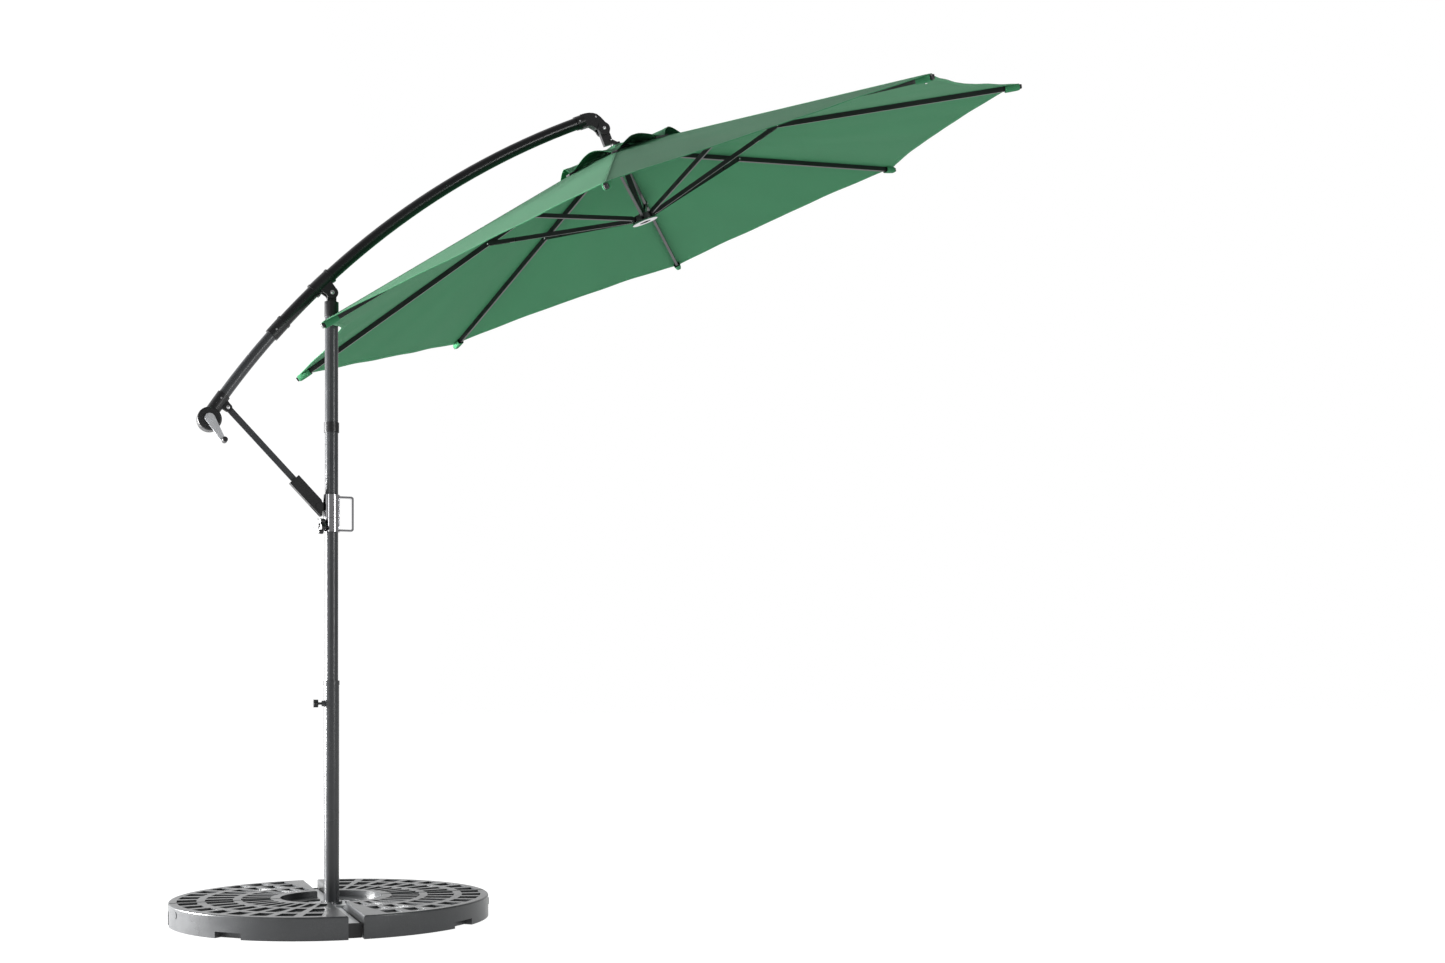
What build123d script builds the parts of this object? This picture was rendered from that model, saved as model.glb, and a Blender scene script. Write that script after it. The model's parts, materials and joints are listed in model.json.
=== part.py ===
from build123d import *
import math
import os

# Cantilever patio umbrella on a weighted cross base.
# Millimetres, +Z up. The origin is on the ground, on the mast's axis. The arm lies over +X.

# Base
DISC_RADIUS = 500          # outside of the four weights
WEIGHT_HEIGHT = 70
WEIGHT_GAP = 23            # half of the open gap along Y, over the front and back tubes
WEIGHT_JOINT = 2           # half of the thin joint along X
RECESS_RADIUS = 160        # round recess in the top, down to a ledge
LEDGE_HEIGHT = 50
WELL_RADIUS = 100          # open middle of the four weights
CROSS_TUBE = 38            # square section
CROSS_WALL = 2
CROSS_CENTRE_Z = 22
CROSS_REACH = 462          # end of each tube
END_CAP = 44
PLATE_SIDE = 130
PLATE_THICK = 6
SOCKET_RADIUS = 24.2       # outside of the lower sleeve
SOCKET_TOP = 765
CLAMP_HEIGHT = 691
DIMPLE_DEPTH = 6
DIMPLE_SHARE = 0.68        # part of its sector that a dimple fills
DIMPLE_RINGS = ((190, 280), (305, 390), (415, 475))
DIMPLES_IN_RING = 9

# Mast
MAST_RADIUS = 21
MAST_WALL = 1.5
MAST_JOINT_Z = 1580
MAST_TUBE_TOP = 1962
PIVOT_Z = 2012             # hinge between the mast and the arm
RUNNING_GAP = 0.06         # radial play of a hinge pin
SLIDING_GAP = 0.3          # radial play of a sleeve on a tube

# Sliding collar and strut
COLLAR_BOTTOM = 1243
COLLAR_SEAM = 1287
COLLAR_TOP = 1363
COLLAR_RADIUS = 26.5
STRUT_LOW = (-40, 1324)    # pivot on the collar, X and Z
STRUT_HIGH = (-321, 1624)  # pivot on the arm
STRUT_BAR = (20, 6)
STRUT_PIN_RADIUS = 4
OPEN_HOLE_RADIUS = 7.2     # wide hole at the strut's lower pivot
OPEN_HOLE_SHIFT = (-2.27, 1.3)
STAR_TURN = 202            # direction that the star knob faces, degrees from +X
STAR_HEIGHT = 1261

# Arm: one long circular arc in the XZ plane
ARM_START = (-338, 1657)
ARM_END = (829, 2667)
ARM_BEND_RADIUS = 2901
ARM_RADIUS = 20
ARM_WALL = 2
ARM_LOW_RADIUS = 17.5
ARM_LOW_END = -24          # the lower tube runs on into the winch's socket
EAR_GAP = 3.4              # half of the gap between the strut's two ears
FERRULE_AT = 288           # along the arc from its start
SADDLE_AT = 493
WINCH_CENTRE = (-378, 1583)
WINCH_RADIUS = 37
CRANK_END = (-336, 1513)
CORD_RADIUS = 1.5
CORD_HOLE = 11

# Canopy
TILT_PIVOT = (913, 2654)   # hinge at the arm's end
CROWN = (968, 2589)        # crown point on the canopy's axis
LINK_WIDTH = 34
CANOPY_TILT = 22.8         # axis leans back towards the mast
CANOPY_TURN = -25.9        # direction of the first rib
RIB_COUNT = 8
RIB_SLOPE = 12.8
RIB_LENGTH = 1343          # from the hub's pin to the tip
RIB_WIDTH = 10
RIB_DEPTH = 16
HUB_PIN_RADIUS = 32        # pin circle of the crown and of the runner
HUB_PIN_DROP = 8
STAY_PIN_AT = 520          # along a rib, and the length of a stay between its pins
STAY_WIDTH = 9
PIN_RADIUS = 2
FABRIC_THICK = 1.5
FABRIC_INNER = 60
# Sag of the hem between two ribs, gore by gore; the fifth one is drawn in round the mast's near side
HEM_SAGS = (42, 34, 46, 14, 124, 42, 42, 42)
MAST_GORE = 4
HEM_BEND = 0.75            # share of the sag at a quarter of the gore
HEM_BEND_AT_MAST = 0.55
CAP_RADIUS = 240
CAP_INNER = 24
CAP_RISE = 38              # lift of the vent cap's edge between two ribs

os.makedirs("parts", exist_ok=True)


def save(shape, node):
    export_step(shape, f"parts/{node}.step")


def across(x, z, radius, y_low, y_high):
    """Cylinder along Y through a point of the XZ plane."""
    middle = (y_low + y_high) / 2
    return Pos(x, middle, z) * Rot(90, 0, 0) * Cylinder(radius, y_high - y_low)


def rod(start, end, radius):
    """Cylinder from one point to another."""
    start = Vector(*start)
    way = Vector(*end) - start
    return Plane(origin=start, z_dir=way) * extrude(Circle(radius), way.length)


def tube(low, high, outer, inner):
    """Upright tube round the mast's axis."""
    ring = Circle(outer) - Circle(inner)
    return Pos(0, 0, low) * extrude(ring, high - low)


def slab(points, y_low, y_high):
    """Flat plate in the XZ plane, from a closed outline of (x, z) points."""
    outline = Polygon(*points, align=None)
    plate = extrude(outline, y_high - y_low, dir=(0, 0, 1))
    return Plane(origin=(0, y_high, 0), x_dir=(1, 0, 0), z_dir=(0, -1, 0)) * plate


def tangent_points(first, first_radius, second, second_radius):
    """Corners of the quadrilateral that joins two circles of the XZ plane."""
    way = Vector(second[0] - first[0], second[1] - first[1]).normalized()
    side = Vector(-way.Y, way.X)
    corners = []
    for centre, radius, sign in (
        (first, first_radius, 1), (first, first_radius, -1),
        (second, second_radius, -1), (second, second_radius, 1),
    ):
        corners.append((centre[0] + sign * side.X * radius, centre[1] + sign * side.Y * radius))
    return corners


# The arm's arc
chord = Vector(ARM_END[0] - ARM_START[0], ARM_END[1] - ARM_START[1])
chord_rise = math.sqrt(ARM_BEND_RADIUS**2 - (chord.length / 2) ** 2)
ARM_CENTRE = (
    (ARM_START[0] + ARM_END[0]) / 2 + chord_rise * chord.Y / chord.length,
    (ARM_START[1] + ARM_END[1]) / 2 - chord_rise * chord.X / chord.length,
)
ARM_START_ANGLE = math.atan2(ARM_START[1] - ARM_CENTRE[1], ARM_START[0] - ARM_CENTRE[0])
ARM_LENGTH = 2 * ARM_BEND_RADIUS * math.asin(chord.length / 2 / ARM_BEND_RADIUS)


def arm_point(along):
    angle = ARM_START_ANGLE - along / ARM_BEND_RADIUS
    x = ARM_CENTRE[0] + ARM_BEND_RADIUS * math.cos(angle)
    return Vector(x, 0, ARM_CENTRE[1] + ARM_BEND_RADIUS * math.sin(angle))


def arm_way(along):
    angle = ARM_START_ANGLE - along / ARM_BEND_RADIUS
    return Vector(math.sin(angle), 0, -math.cos(angle))


def arm_plane(along):
    """Plane across the arm: its x is +Y, its y points to the arc's centre side."""
    return Plane(origin=arm_point(along), x_dir=(0, 1, 0), z_dir=arm_way(along))


def arm_tube(start, end, outer, inner):
    section = arm_plane(start) * (Circle(outer) - Circle(inner))
    axis = Axis((ARM_CENTRE[0], 0, ARM_CENTRE[1]), (0, 1, 0))
    return revolve(section, axis, revolution_arc=math.degrees((end - start) / ARM_BEND_RADIUS))


# Base


def cross_tubes():
    inside = CROSS_TUBE - 2 * CROSS_WALL
    section = Rectangle(CROSS_TUBE, CROSS_TUBE) - Rectangle(inside, inside)
    whole = Pos(0, CROSS_REACH, CROSS_CENTRE_Z) * Rot(90, 0, 0) * extrude(section, 2 * CROSS_REACH)
    half_length = CROSS_REACH - CROSS_TUBE / 2
    half = Pos(CROSS_TUBE / 2, 0, CROSS_CENTRE_Z) * Rot(0, 90, 0) * extrude(section, half_length)
    return Compound([whole, half, Rot(0, 0, 180) * half])


PAD_THICK = CROSS_CENTRE_Z - CROSS_TUBE / 2


def cross_end_caps():
    """Caps in the four ends of the cross, and the pad under its middle."""
    plug = CROSS_TUBE - 2 * CROSS_WALL
    face = Pos(CROSS_REACH + 2, 0, CROSS_CENTRE_Z) * Box(4, END_CAP, END_CAP)
    face = fillet(face.edges().filter_by(Axis.X), 3)
    stem = Pos(CROSS_REACH - 8, 0, CROSS_CENTRE_Z) * Box(16, plug, plug)
    cap = face + stem
    pad = Pos(0, 0, PAD_THICK / 2) * Cylinder(CROSS_TUBE / 2, PAD_THICK)
    return Compound([Rot(0, 0, 90 * k) * cap for k in range(4)] + [pad])


PLATE_Z = CROSS_CENTRE_Z + CROSS_TUBE / 2
BOLT_REACH = 50


def bolt_places():
    return [Rot(0, 0, 90 * k) * Pos(BOLT_REACH, 0, PLATE_Z) for k in range(4)]


def centre_plate():
    plate = extrude(RectangleRounded(PLATE_SIDE, PLATE_SIDE, 8), PLATE_THICK)
    plate = Pos(0, 0, PLATE_Z) * plate
    for place in bolt_places():
        plate -= place * Cylinder(4.2, 40)
    return plate


def base_bolts():
    head = Pos(0, 0, PLATE_THICK) * extrude(RegularPolygon(7, 6), 5.5)
    shank = Pos(0, 0, 1) * extrude(Circle(4), PLATE_THICK - 1)
    return Compound([place * (head + shank) for place in bolt_places()])


def mast_socket():
    """Lower sleeve with its foot flange and the threaded boss of the clamp screw."""
    foot = PLATE_Z + PLATE_THICK
    inner = MAST_RADIUS + SLIDING_GAP
    shape = tube(foot, SOCKET_TOP, SOCKET_RADIUS, inner)
    shape += tube(foot, foot + 8, 34, inner)
    shape += tube(SOCKET_TOP - 14, SOCKET_TOP, SOCKET_RADIUS + 1.2, inner)
    boss = Pos(-SOCKET_RADIUS - 2.5, 0, CLAMP_HEIGHT) * Rot(0, 90, 0) * Cylinder(9, 9)
    shape += boss - Cylinder(SOCKET_RADIUS - 1, 3 * SOCKET_TOP)
    hole = Pos(-SOCKET_RADIUS, 0, CLAMP_HEIGHT) * Rot(0, 90, 0) * Cylinder(4.1, 40)
    return shape - hole


def clamp_knob():
    """Wing-sided knob on the screw that locks the mast in the lower sleeve."""
    start = -MAST_RADIUS - 0.8
    screw = rod((start, 0, CLAMP_HEIGHT), (-43, 0, CLAMP_HEIGHT), 4)
    head = rod((-43, 0, CLAMP_HEIGHT), (-57, 0, CLAMP_HEIGHT), 13)
    for k in range(6):
        turn = math.radians(60 * k + 30)
        y = 15 * math.cos(turn)
        z = CLAMP_HEIGHT + 15 * math.sin(turn)
        head -= rod((-40, y, z), (-60, y, z), 4)
    return screw + head


def dimple(inner, outer):
    """Wedge-shaped shallow pocket with its long sides along two radii, on +X."""
    half = math.radians(45 / DIMPLES_IN_RING) * DIMPLE_SHARE
    points = []
    for radius, side in ((inner, -1), (outer, -1), (outer, 1), (inner, 1)):
        points.append((radius * math.cos(half), side * radius * math.sin(half)))
    pocket = extrude(Polygon(*points, align=None), DIMPLE_DEPTH + 1)
    return Pos(0, 0, WEIGHT_HEIGHT - DIMPLE_DEPTH) * pocket


def weight_block():
    """Weight in the quarter x > 0, y > 0."""
    outline = Circle(DISC_RADIUS) & Pos(WEIGHT_GAP, WEIGHT_JOINT) * Rectangle(
        DISC_RADIUS, DISC_RADIUS, align=(Align.MIN, Align.MIN)
    )
    block = extrude(outline, WEIGHT_HEIGHT)
    block = fillet(block.edges().group_by(Axis.Z)[-1], 5)
    block = block - Cylinder(WELL_RADIUS, 3 * WEIGHT_HEIGHT)
    recess = Pos(0, 0, LEDGE_HEIGHT) * Cylinder(
        RECESS_RADIUS, WEIGHT_HEIGHT, align=(Align.CENTER, Align.CENTER, Align.MIN)
    )
    block -= recess
    # Channel under the joint along X, over the cross tube and its end cap
    channel_height = CROSS_CENTRE_Z + END_CAP / 2 + 2
    channel = Box(2 * DISC_RADIUS, END_CAP / 2 + 1.5, channel_height, align=(Align.MIN, Align.MIN, Align.MIN))
    block -= channel
    # Hand grip cut in the bottom of the outer side
    grip = Rot(0, 0, 45) * Pos(DISC_RADIUS, 0, 0) * Box(60, 96, 40)
    return block - grip


def weight():
    block = weight_block()
    step = 90 / DIMPLES_IN_RING
    pockets = []
    for inner, outer in DIMPLE_RINGS:
        for k in range(DIMPLES_IN_RING):
            pockets.append(Rot(0, 0, step * (k + 0.5)) * dimple(inner, outer))
    kept = [p for p in pockets if p.bounding_box().min.X > WEIGHT_GAP + 6]
    block = block - kept
    filler = Rot(0, 0, 14) * Pos(DISC_RADIUS - 3.5, 0, 47) * Rot(0, 90, 0) * Cylinder(11, 10)
    return block + filler


def build_weights():
    """Four weights: the quarter piece, and its mirror images across X and Y."""
    first = weight()
    second = mirror(first, about=Plane.YZ)
    save(first, "weight_1")
    save(second, "weight_2")
    save(Rot(0, 0, 180) * first, "weight_3")
    save(Rot(0, 0, 180) * second, "weight_4")


# Mast


def mast_lower_tube():
    return tube(PLATE_Z + PLATE_THICK + 0.5, MAST_JOINT_Z, MAST_RADIUS, MAST_RADIUS - MAST_WALL)


def mast_upper_tube():
    return tube(MAST_JOINT_Z, MAST_TUBE_TOP, MAST_RADIUS, MAST_RADIUS - MAST_WALL)


def mast_connector():
    """Ring over the joint of the two mast tubes, with its rivet."""
    ring = tube(MAST_JOINT_Z - 16, MAST_JOINT_Z + 16, 24, MAST_RADIUS)
    rivet = Rot(0, 0, 248) * Pos(24, 0, MAST_JOINT_Z) * Rot(0, 90, 0) * Cylinder(3, 3)
    return ring + rivet


def mast_head():
    """Cap on the mast's top with the tongue that the arm's saddle straddles."""
    cap = Pos(0, 0, MAST_TUBE_TOP) * Cylinder(22.5, 22, align=(Align.CENTER, Align.CENTER, Align.MIN))
    skirt = tube(MAST_TUBE_TOP - 26, MAST_TUBE_TOP, 22.5, MAST_RADIUS)
    neck = Pos(0, 0, PIVOT_Z - 16) * Box(28, 23, 32)
    tongue = neck + across(0, PIVOT_Z, 14, -11.5, 11.5)
    return cap + skirt + tongue - across(0, PIVOT_Z, 5 + RUNNING_GAP, -30, 30)


# Sliding collar


def collar_sleeve():
    """Two-part chrome sleeve: long upper part, and a short clamp ring with the knob's boss."""
    inner = MAST_RADIUS + SLIDING_GAP
    upper = tube(COLLAR_SEAM + 1, COLLAR_TOP, COLLAR_RADIUS, inner)
    lower = tube(COLLAR_BOTTOM, COLLAR_SEAM, COLLAR_RADIUS, inner)
    way = Rot(0, 0, STAR_TURN)
    boss = way * Pos(COLLAR_RADIUS, 0, STAR_HEIGHT) * Rot(0, 90, 0) * Cylinder(10, 7)
    lower += boss - Cylinder(COLLAR_RADIUS - 1, 4 * COLLAR_TOP)
    lower -= way * Pos(COLLAR_RADIUS, 0, STAR_HEIGHT) * Rot(0, 90, 0) * Cylinder(4.1, 30)
    return Compound([upper, lower])


HANDLE_REACH = 69
HANDLE_BAR = (6, 22)


def collar_handle():
    """D handle: a bent strap with both ends on the sleeve."""
    low = COLLAR_BOTTOM + 3
    high = COLLAR_TOP - 4
    size = (HANDLE_REACH - 20, high - low)
    frame = RectangleRounded(2 * size[0], size[1], 8)
    hole = RectangleRounded(2 * (size[0] - HANDLE_BAR[0]), size[1] - 2 * HANDLE_BAR[0], 4)
    middle = (low + high) / 2
    across_plane = Plane(origin=(20, HANDLE_BAR[1] / 2, middle), x_dir=(1, 0, 0), z_dir=(0, -1, 0))
    strap = across_plane * extrude(frame - hole, HANDLE_BAR[1])
    strap -= Pos(0, 0, middle) * Cylinder(COLLAR_RADIUS, 4 * size[1])
    strap &= Pos(0, -40, low - 10) * Box(80, 80, 300, align=(Align.MIN, Align.MIN, Align.MIN))
    return strap


def collar_lug():
    """Lug on the sleeve with the pin and heads of the strut's lower pivot."""
    x, z = STRUT_LOW
    lug = slab([(-20, z - 16), (-20, z + 16), (x, z + 11), (x, z - 11)], -7, 7)
    lug += across(x, z, 11, -7, 7)
    lug -= Pos(0, 0, z) * Cylinder(COLLAR_RADIUS, 100)
    pin = across(x, z, STRUT_PIN_RADIUS, -16, 16)
    heads = across(x, z, 11, -18.5, -15.6) + across(x, z, 11, 15.6, 18.5)
    return lug + pin + heads


def star_knob():
    """Five-lobed knob and its screw, built on +X and turned into place."""
    grip = Pos(41, 0, 0) * Rot(0, 90, 0) * Cylinder(17, 16)
    for k in range(5):
        turn = math.radians(72 * k - 90)
        lobe = Pos(41, 18 * math.cos(turn), 18 * math.sin(turn)) * Rot(0, 90, 0) * Cylinder(8, 16)
        grip += lobe
    grip += Pos(50.5, 0, 0) * Rot(0, 90, 0) * Cylinder(10, 3)
    screw = rod((MAST_RADIUS + 0.8, 0, 0), (34, 0, 0), 4)
    return Rot(0, 0, STAR_TURN) * Pos(0, 0, STAR_HEIGHT) * (grip + screw)


# Strut between the collar and the arm

STRUT_WAY = Vector(STRUT_LOW[0] - STRUT_HIGH[0], 0, STRUT_LOW[1] - STRUT_HIGH[1])
STRUT_LENGTH = STRUT_WAY.length
STRUT_PLANE = Plane(origin=(STRUT_HIGH[0], 0, STRUT_HIGH[1]), x_dir=STRUT_WAY, z_dir=(0, -1, 0))
SOCKET_START = 296
SOCKET_DEPTH = 38


def in_strut(outline, y_low, y_high):
    """Plate in the strut's own frame: x along it, y to its upper side."""
    plate = Pos(0, 0, -y_high) * extrude(outline, y_high - y_low, dir=(0, 0, 1))
    return STRUT_PLANE * plate


def strut_bar():
    width, thick = STRUT_BAR
    end = STRUT_LENGTH - 40
    outline = Pos(end / 2, 0) * Rectangle(end, width) + Circle(width / 2)
    outline -= Circle(STRUT_PIN_RADIUS + RUNNING_GAP)
    return in_strut(outline, -thick / 2, thick / 2)


def strut_socket():
    """Plastic socket on the bar's end, forked over the collar's lug."""
    half = SOCKET_DEPTH / 2
    end = STRUT_LENGTH
    points = [
        (SOCKET_START, -half), (SOCKET_START, half), (end - 10, half), (end + 8, 8.5),
        (end + 29, -14), (end + 25, -half),
    ]
    outline = Polygon(*points, align=None)
    body = in_strut(outline, -15, 15)
    body -= in_strut(Pos(end + 9, 0) * Rectangle(60, 60), -7.5, 7.5)
    width, thick = STRUT_BAR
    bar_length = end - 40
    body -= in_strut(Pos(bar_length / 2, 0) * Rectangle(bar_length, width), -thick / 2, thick / 2)
    hole = Pos(end + OPEN_HOLE_SHIFT[0], OPEN_HOLE_SHIFT[1]) * Circle(OPEN_HOLE_RADIUS)
    return body - in_strut(hole, -20, 20)


# Arm


def arm_lower_tube():
    return arm_tube(ARM_LOW_END, FERRULE_AT, ARM_LOW_RADIUS, ARM_LOW_RADIUS - ARM_WALL)


def arm_upper_tube():
    return arm_tube(FERRULE_AT, ARM_LENGTH, ARM_RADIUS, ARM_RADIUS - ARM_WALL)


def arm_ferrule():
    """Stepped collar over the joint of the two arm tubes."""
    low = arm_tube(FERRULE_AT - 34, FERRULE_AT, 22, ARM_LOW_RADIUS)
    high = arm_tube(FERRULE_AT, FERRULE_AT + 30, 22, ARM_RADIUS)
    rim = arm_tube(FERRULE_AT + 22, FERRULE_AT + 30, 23.2, 22)
    return low + high + rim


def arm_saddle():
    """T bracket: a sleeve on the arm with two ears over the mast's head."""
    sleeve = arm_tube(SADDLE_AT - 40, SADDLE_AT + 40, 23, ARM_RADIUS)
    sleeve += arm_tube(SADDLE_AT - 40, SADDLE_AT - 33, 24.4, 23)
    sleeve += arm_tube(SADDLE_AT + 33, SADDLE_AT + 40, 24.4, 23)
    foot = arm_point(SADDLE_AT)
    way = arm_way(SADDLE_AT)
    low = foot - way * 26
    high = foot + way * 26
    points = [(low.X, low.Z), (high.X, high.Z), (17, PIVOT_Z + 8), (12, PIVOT_Z - 14), (-17, PIVOT_Z - 8)]
    ears = slab(points, 12, 18) + across(0, PIVOT_Z, 19, 12, 18)
    ears += slab(points, -18, -12) + across(0, PIVOT_Z, 19, -18, -12)
    bore = arm_tube(SADDLE_AT - 60, SADDLE_AT + 60, ARM_RADIUS, 0.001)
    return sleeve + ears - bore - across(0, PIVOT_Z, 5, -30, 30)


def winch_socket():
    """Moulded socket on the arm's lower end, with the strut's ears, down to the winch."""
    x, z = STRUT_HIGH
    rear = arm_point(ARM_LOW_END)
    way = arm_way(ARM_LOW_END)
    shape = arm_tube(ARM_LOW_END, 9, 21, ARM_LOW_RADIUS)
    shape += rod(tuple(rear - way * 40), tuple(rear), 21)
    behind = rear - way * 8
    ahead = rear + way * 30
    points = [(behind.X, behind.Z), (ahead.X, ahead.Z), (x + 7, z + 11), (x - 7, z - 11)]
    for y_low, y_high in ((EAR_GAP, EAR_GAP + 5), (-EAR_GAP - 5, -EAR_GAP)):
        shape += slab(points, y_low, y_high) + across(x, z, 13, y_low, y_high)
    shape -= arm_tube(ARM_LOW_END, 60, ARM_LOW_RADIUS, 0.001)
    shape -= rod(tuple(rear - way * 60), tuple(rear + way * 5), CORD_HOLE)
    shape -= across(*WINCH_CENTRE, WINCH_RADIUS, -60, 60)
    shape -= across(x, z, 15, -EAR_GAP, EAR_GAP)
    return shape - across(x, z, STRUT_PIN_RADIUS, -30, 30)


def winch_housing():
    """Round two-part gear housing, hollow, with the bore of the crank's shaft."""
    x, z = WINCH_CENTRE
    front = across(x, z, WINCH_RADIUS, -30, -2)
    front = fillet(front.edges().group_by(Axis.Y)[0], 5)
    rear = across(x, z, WINCH_RADIUS, -2, 26)
    rear = fillet(rear.edges().group_by(Axis.Y)[-1], 5)
    cavity = across(x, z, 30, -24, 20)
    rear_end = arm_point(ARM_LOW_END)
    cord_hole = rod(tuple(rear_end - arm_way(ARM_LOW_END) * 50), tuple(rear_end), CORD_HOLE)
    return front + rear - cavity - across(x, z, 6 + RUNNING_GAP, -60, 0) - cord_hole


def winch_drum():
    """Drum, its two flanges and the shaft that the crank turns."""
    x, z = WINCH_CENTRE
    drum = across(x, z, 14, -14, 12)
    drum += across(x, z, 26, -17, -14) + across(x, z, 26, 12, 15)
    shaft = across(x, z, 6, -37, -17)
    return drum + shaft


def crank_arm():
    """Tapered flat crank from the shaft to the grip's pin."""
    x, z = WINCH_CENTRE
    end_x, end_z = CRANK_END
    plate = slab(tangent_points(WINCH_CENTRE, 15, CRANK_END, 7), -44, -38)
    plate += across(x, z, 15, -44, -38) + across(end_x, end_z, 7, -44, -38)
    boss = across(x, z, 10, -47, -44)
    pin = across(end_x, end_z, 3, -80, -44)
    hub = across(x, z, 6, -38, -37)
    return plate + boss + pin + hub


def crank_grip():
    end_x, end_z = CRANK_END
    grip = across(end_x, end_z, 8.5, -84, -45)
    grip = fillet(grip.edges().group_by(Axis.Y)[0], 4)
    return grip - across(end_x, end_z, 3 + RUNNING_GAP, -80.5, -40)


ELBOW_HALF = 15            # half of the elbow's width along Y
FORK_GAP = 9
# Side outline of the elbow, from the sleeve's top round the bend to the sleeve's bottom
ELBOW_OUTLINE = (
    (828, 2690), (845, 2697), (860, 2701), (874, 2702), (888, 2700), (902, 2691), (920, 2675),
    (928, 2670), (913, 2640), (893, 2645), (883, 2652), (866, 2659), (839, 2647),
)
ELBOW_RIVET = (884, 2690)


def arm_elbow():
    """Bent end fitting: a sleeve on the arm's end and a fork down to the tilt pivot."""
    x, z = TILT_PIVOT
    sleeve = arm_tube(ARM_LENGTH - 14, ARM_LENGTH + 16, 22.5, ARM_RADIUS)
    body = slab(ELBOW_OUTLINE, -ELBOW_HALF, ELBOW_HALF) + across(x, z, 22, -ELBOW_HALF, ELBOW_HALF)
    slot = [(x - 28, z - 60), (x - 28, z - 8), (x - 8, z + 24), (x + 50, z + 24), (x + 50, z - 60)]
    body -= slab(slot, -FORK_GAP, FORK_GAP)
    body -= rod(tuple(arm_point(ARM_LENGTH - 30)), tuple(arm_point(ARM_LENGTH + 34)), 8)
    discs = across(x, z, 21, -19, -ELBOW_HALF) + across(x, z, 21, ELBOW_HALF, 19)
    shape = sleeve + body + discs - arm_tube(ARM_LENGTH - 60, ARM_LENGTH, ARM_RADIUS, 0.001)
    outlet = arm_point(ARM_LENGTH) + arm_way(ARM_LENGTH) * 20
    cord_way = across(x, z, 20, -3, 3) + rod(tuple(outlet), (x - 4, 0, z + 12.5), 5)
    return shape - across(x, z, 4, -30, 30) - cord_way


def arm_pins():
    """Hinge pins and rivets of the arm: identical plain steel, one solid each."""
    pins = [
        across(0, PIVOT_Z, 5, -18, 18) + across(0, PIVOT_Z, 7, -20, -18) + across(0, PIVOT_Z, 7, 18, 20),
        across(*STRUT_HIGH, STRUT_PIN_RADIUS, -EAR_GAP - 5, EAR_GAP + 5)
        + across(*STRUT_HIGH, 6, -10.4, -8.4)
        + across(*STRUT_HIGH, 6, 8.4, 10.4),
        across(*TILT_PIVOT, 4, -19, 19) + across(*TILT_PIVOT, 6, -21, -19) + across(*TILT_PIVOT, 6, 19, 21),
    ]
    for along, radius in ((FERRULE_AT - 12, 22), (-8, 21), (ARM_LENGTH - 4, 23)):
        point = arm_point(along)
        pins.append(across(point.X, point.Z, 3, -radius - 1.5, -radius))
    pins.append(across(*ELBOW_RIVET, 3, -ELBOW_HALF - 1.5, -ELBOW_HALF))
    return Compound(pins)


def hoist_cord():
    """Cord from the winch drum through the arm to the pulley pin at the tilt pivot."""
    x, z = WINCH_CENTRE
    way = arm_way(0)
    end_way = arm_way(ARM_LENGTH)
    off = Vector(-way.Z, 0, way.X)
    start = Vector(x, 0, z) + off * 15.5
    corner_angle = ARM_LENGTH / ARM_BEND_RADIUS / 2
    corner = arm_point(0) + way * (ARM_BEND_RADIUS * math.tan(corner_angle))
    outlet = arm_point(ARM_LENGTH) + end_way * 20
    over = Vector(TILT_PIVOT[0] - 4, 0, TILT_PIVOT[1] + 12.5)
    path = FilletPolyline(start, corner, outlet, over, radius=[0.97 * ARM_BEND_RADIUS, 24])
    section = Plane(origin=path @ 0, z_dir=path % 0) * Circle(CORD_RADIUS)
    return sweep(section, path)


# Canopy

TILT = math.radians(CANOPY_TILT)
CANOPY = Plane(
    origin=(CROWN[0], 0, CROWN[1]),
    x_dir=(math.cos(TILT), 0, math.sin(TILT)),
    z_dir=(-math.sin(TILT), 0, math.cos(TILT)),
).location
SLOPE = math.radians(RIB_SLOPE)
RUNNER_Z = -HUB_PIN_DROP - 2 * STAY_PIN_AT * math.sin(SLOPE)
HALF_GORE = math.radians(180 / RIB_COUNT)
RING_RADIUS = 42
BOSS_TOP = 26


def rib_turn(k):
    """Frame of rib k: x outwards along it in plan, z along the canopy's axis."""
    return CANOPY * Rot(0, 0, CANOPY_TURN + 360 / RIB_COUNT * k)


def rib_frame(k):
    return rib_turn(k) * Pos(HUB_PIN_RADIUS, 0, -HUB_PIN_DROP) * Rot(0, RIB_SLOPE, 0)


def stay_frame(k):
    """Frame at the stay's pin on the rib, x along the stay towards the runner."""
    return rib_frame(k) * Pos(STAY_PIN_AT, 0, 0) * Rot(0, 180 - 2 * RIB_SLOPE, 0)


def tangent_pin(radius, height, half_length):
    """Pin across rib 0's plane, at a radius and height on the canopy's axis."""
    return Pos(radius, 0, height) * Rot(90, 0, 0) * Cylinder(PIN_RADIUS, 2 * half_length)


def notched_ring(low, high, slot_low, slot_high, width, pin_height):
    """Disc with a slot and a fixed pin for each rib or stay."""
    ring = Pos(0, 0, low) * Cylinder(RING_RADIUS, high - low, align=(Align.CENTER, Align.CENTER, Align.MIN))
    slot_centre = Pos(22 + 15, 0, (slot_low + slot_high) / 2)
    slot = slot_centre * Box(30, width, slot_high - slot_low)
    turns = [Rot(0, 0, 360 / RIB_COUNT * k) for k in range(RIB_COUNT)]
    ring -= [turn * slot for turn in turns]
    for turn in turns:
        ring += turn * tangent_pin(HUB_PIN_RADIUS, pin_height, width / 2 + 1)
    return ring


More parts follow.
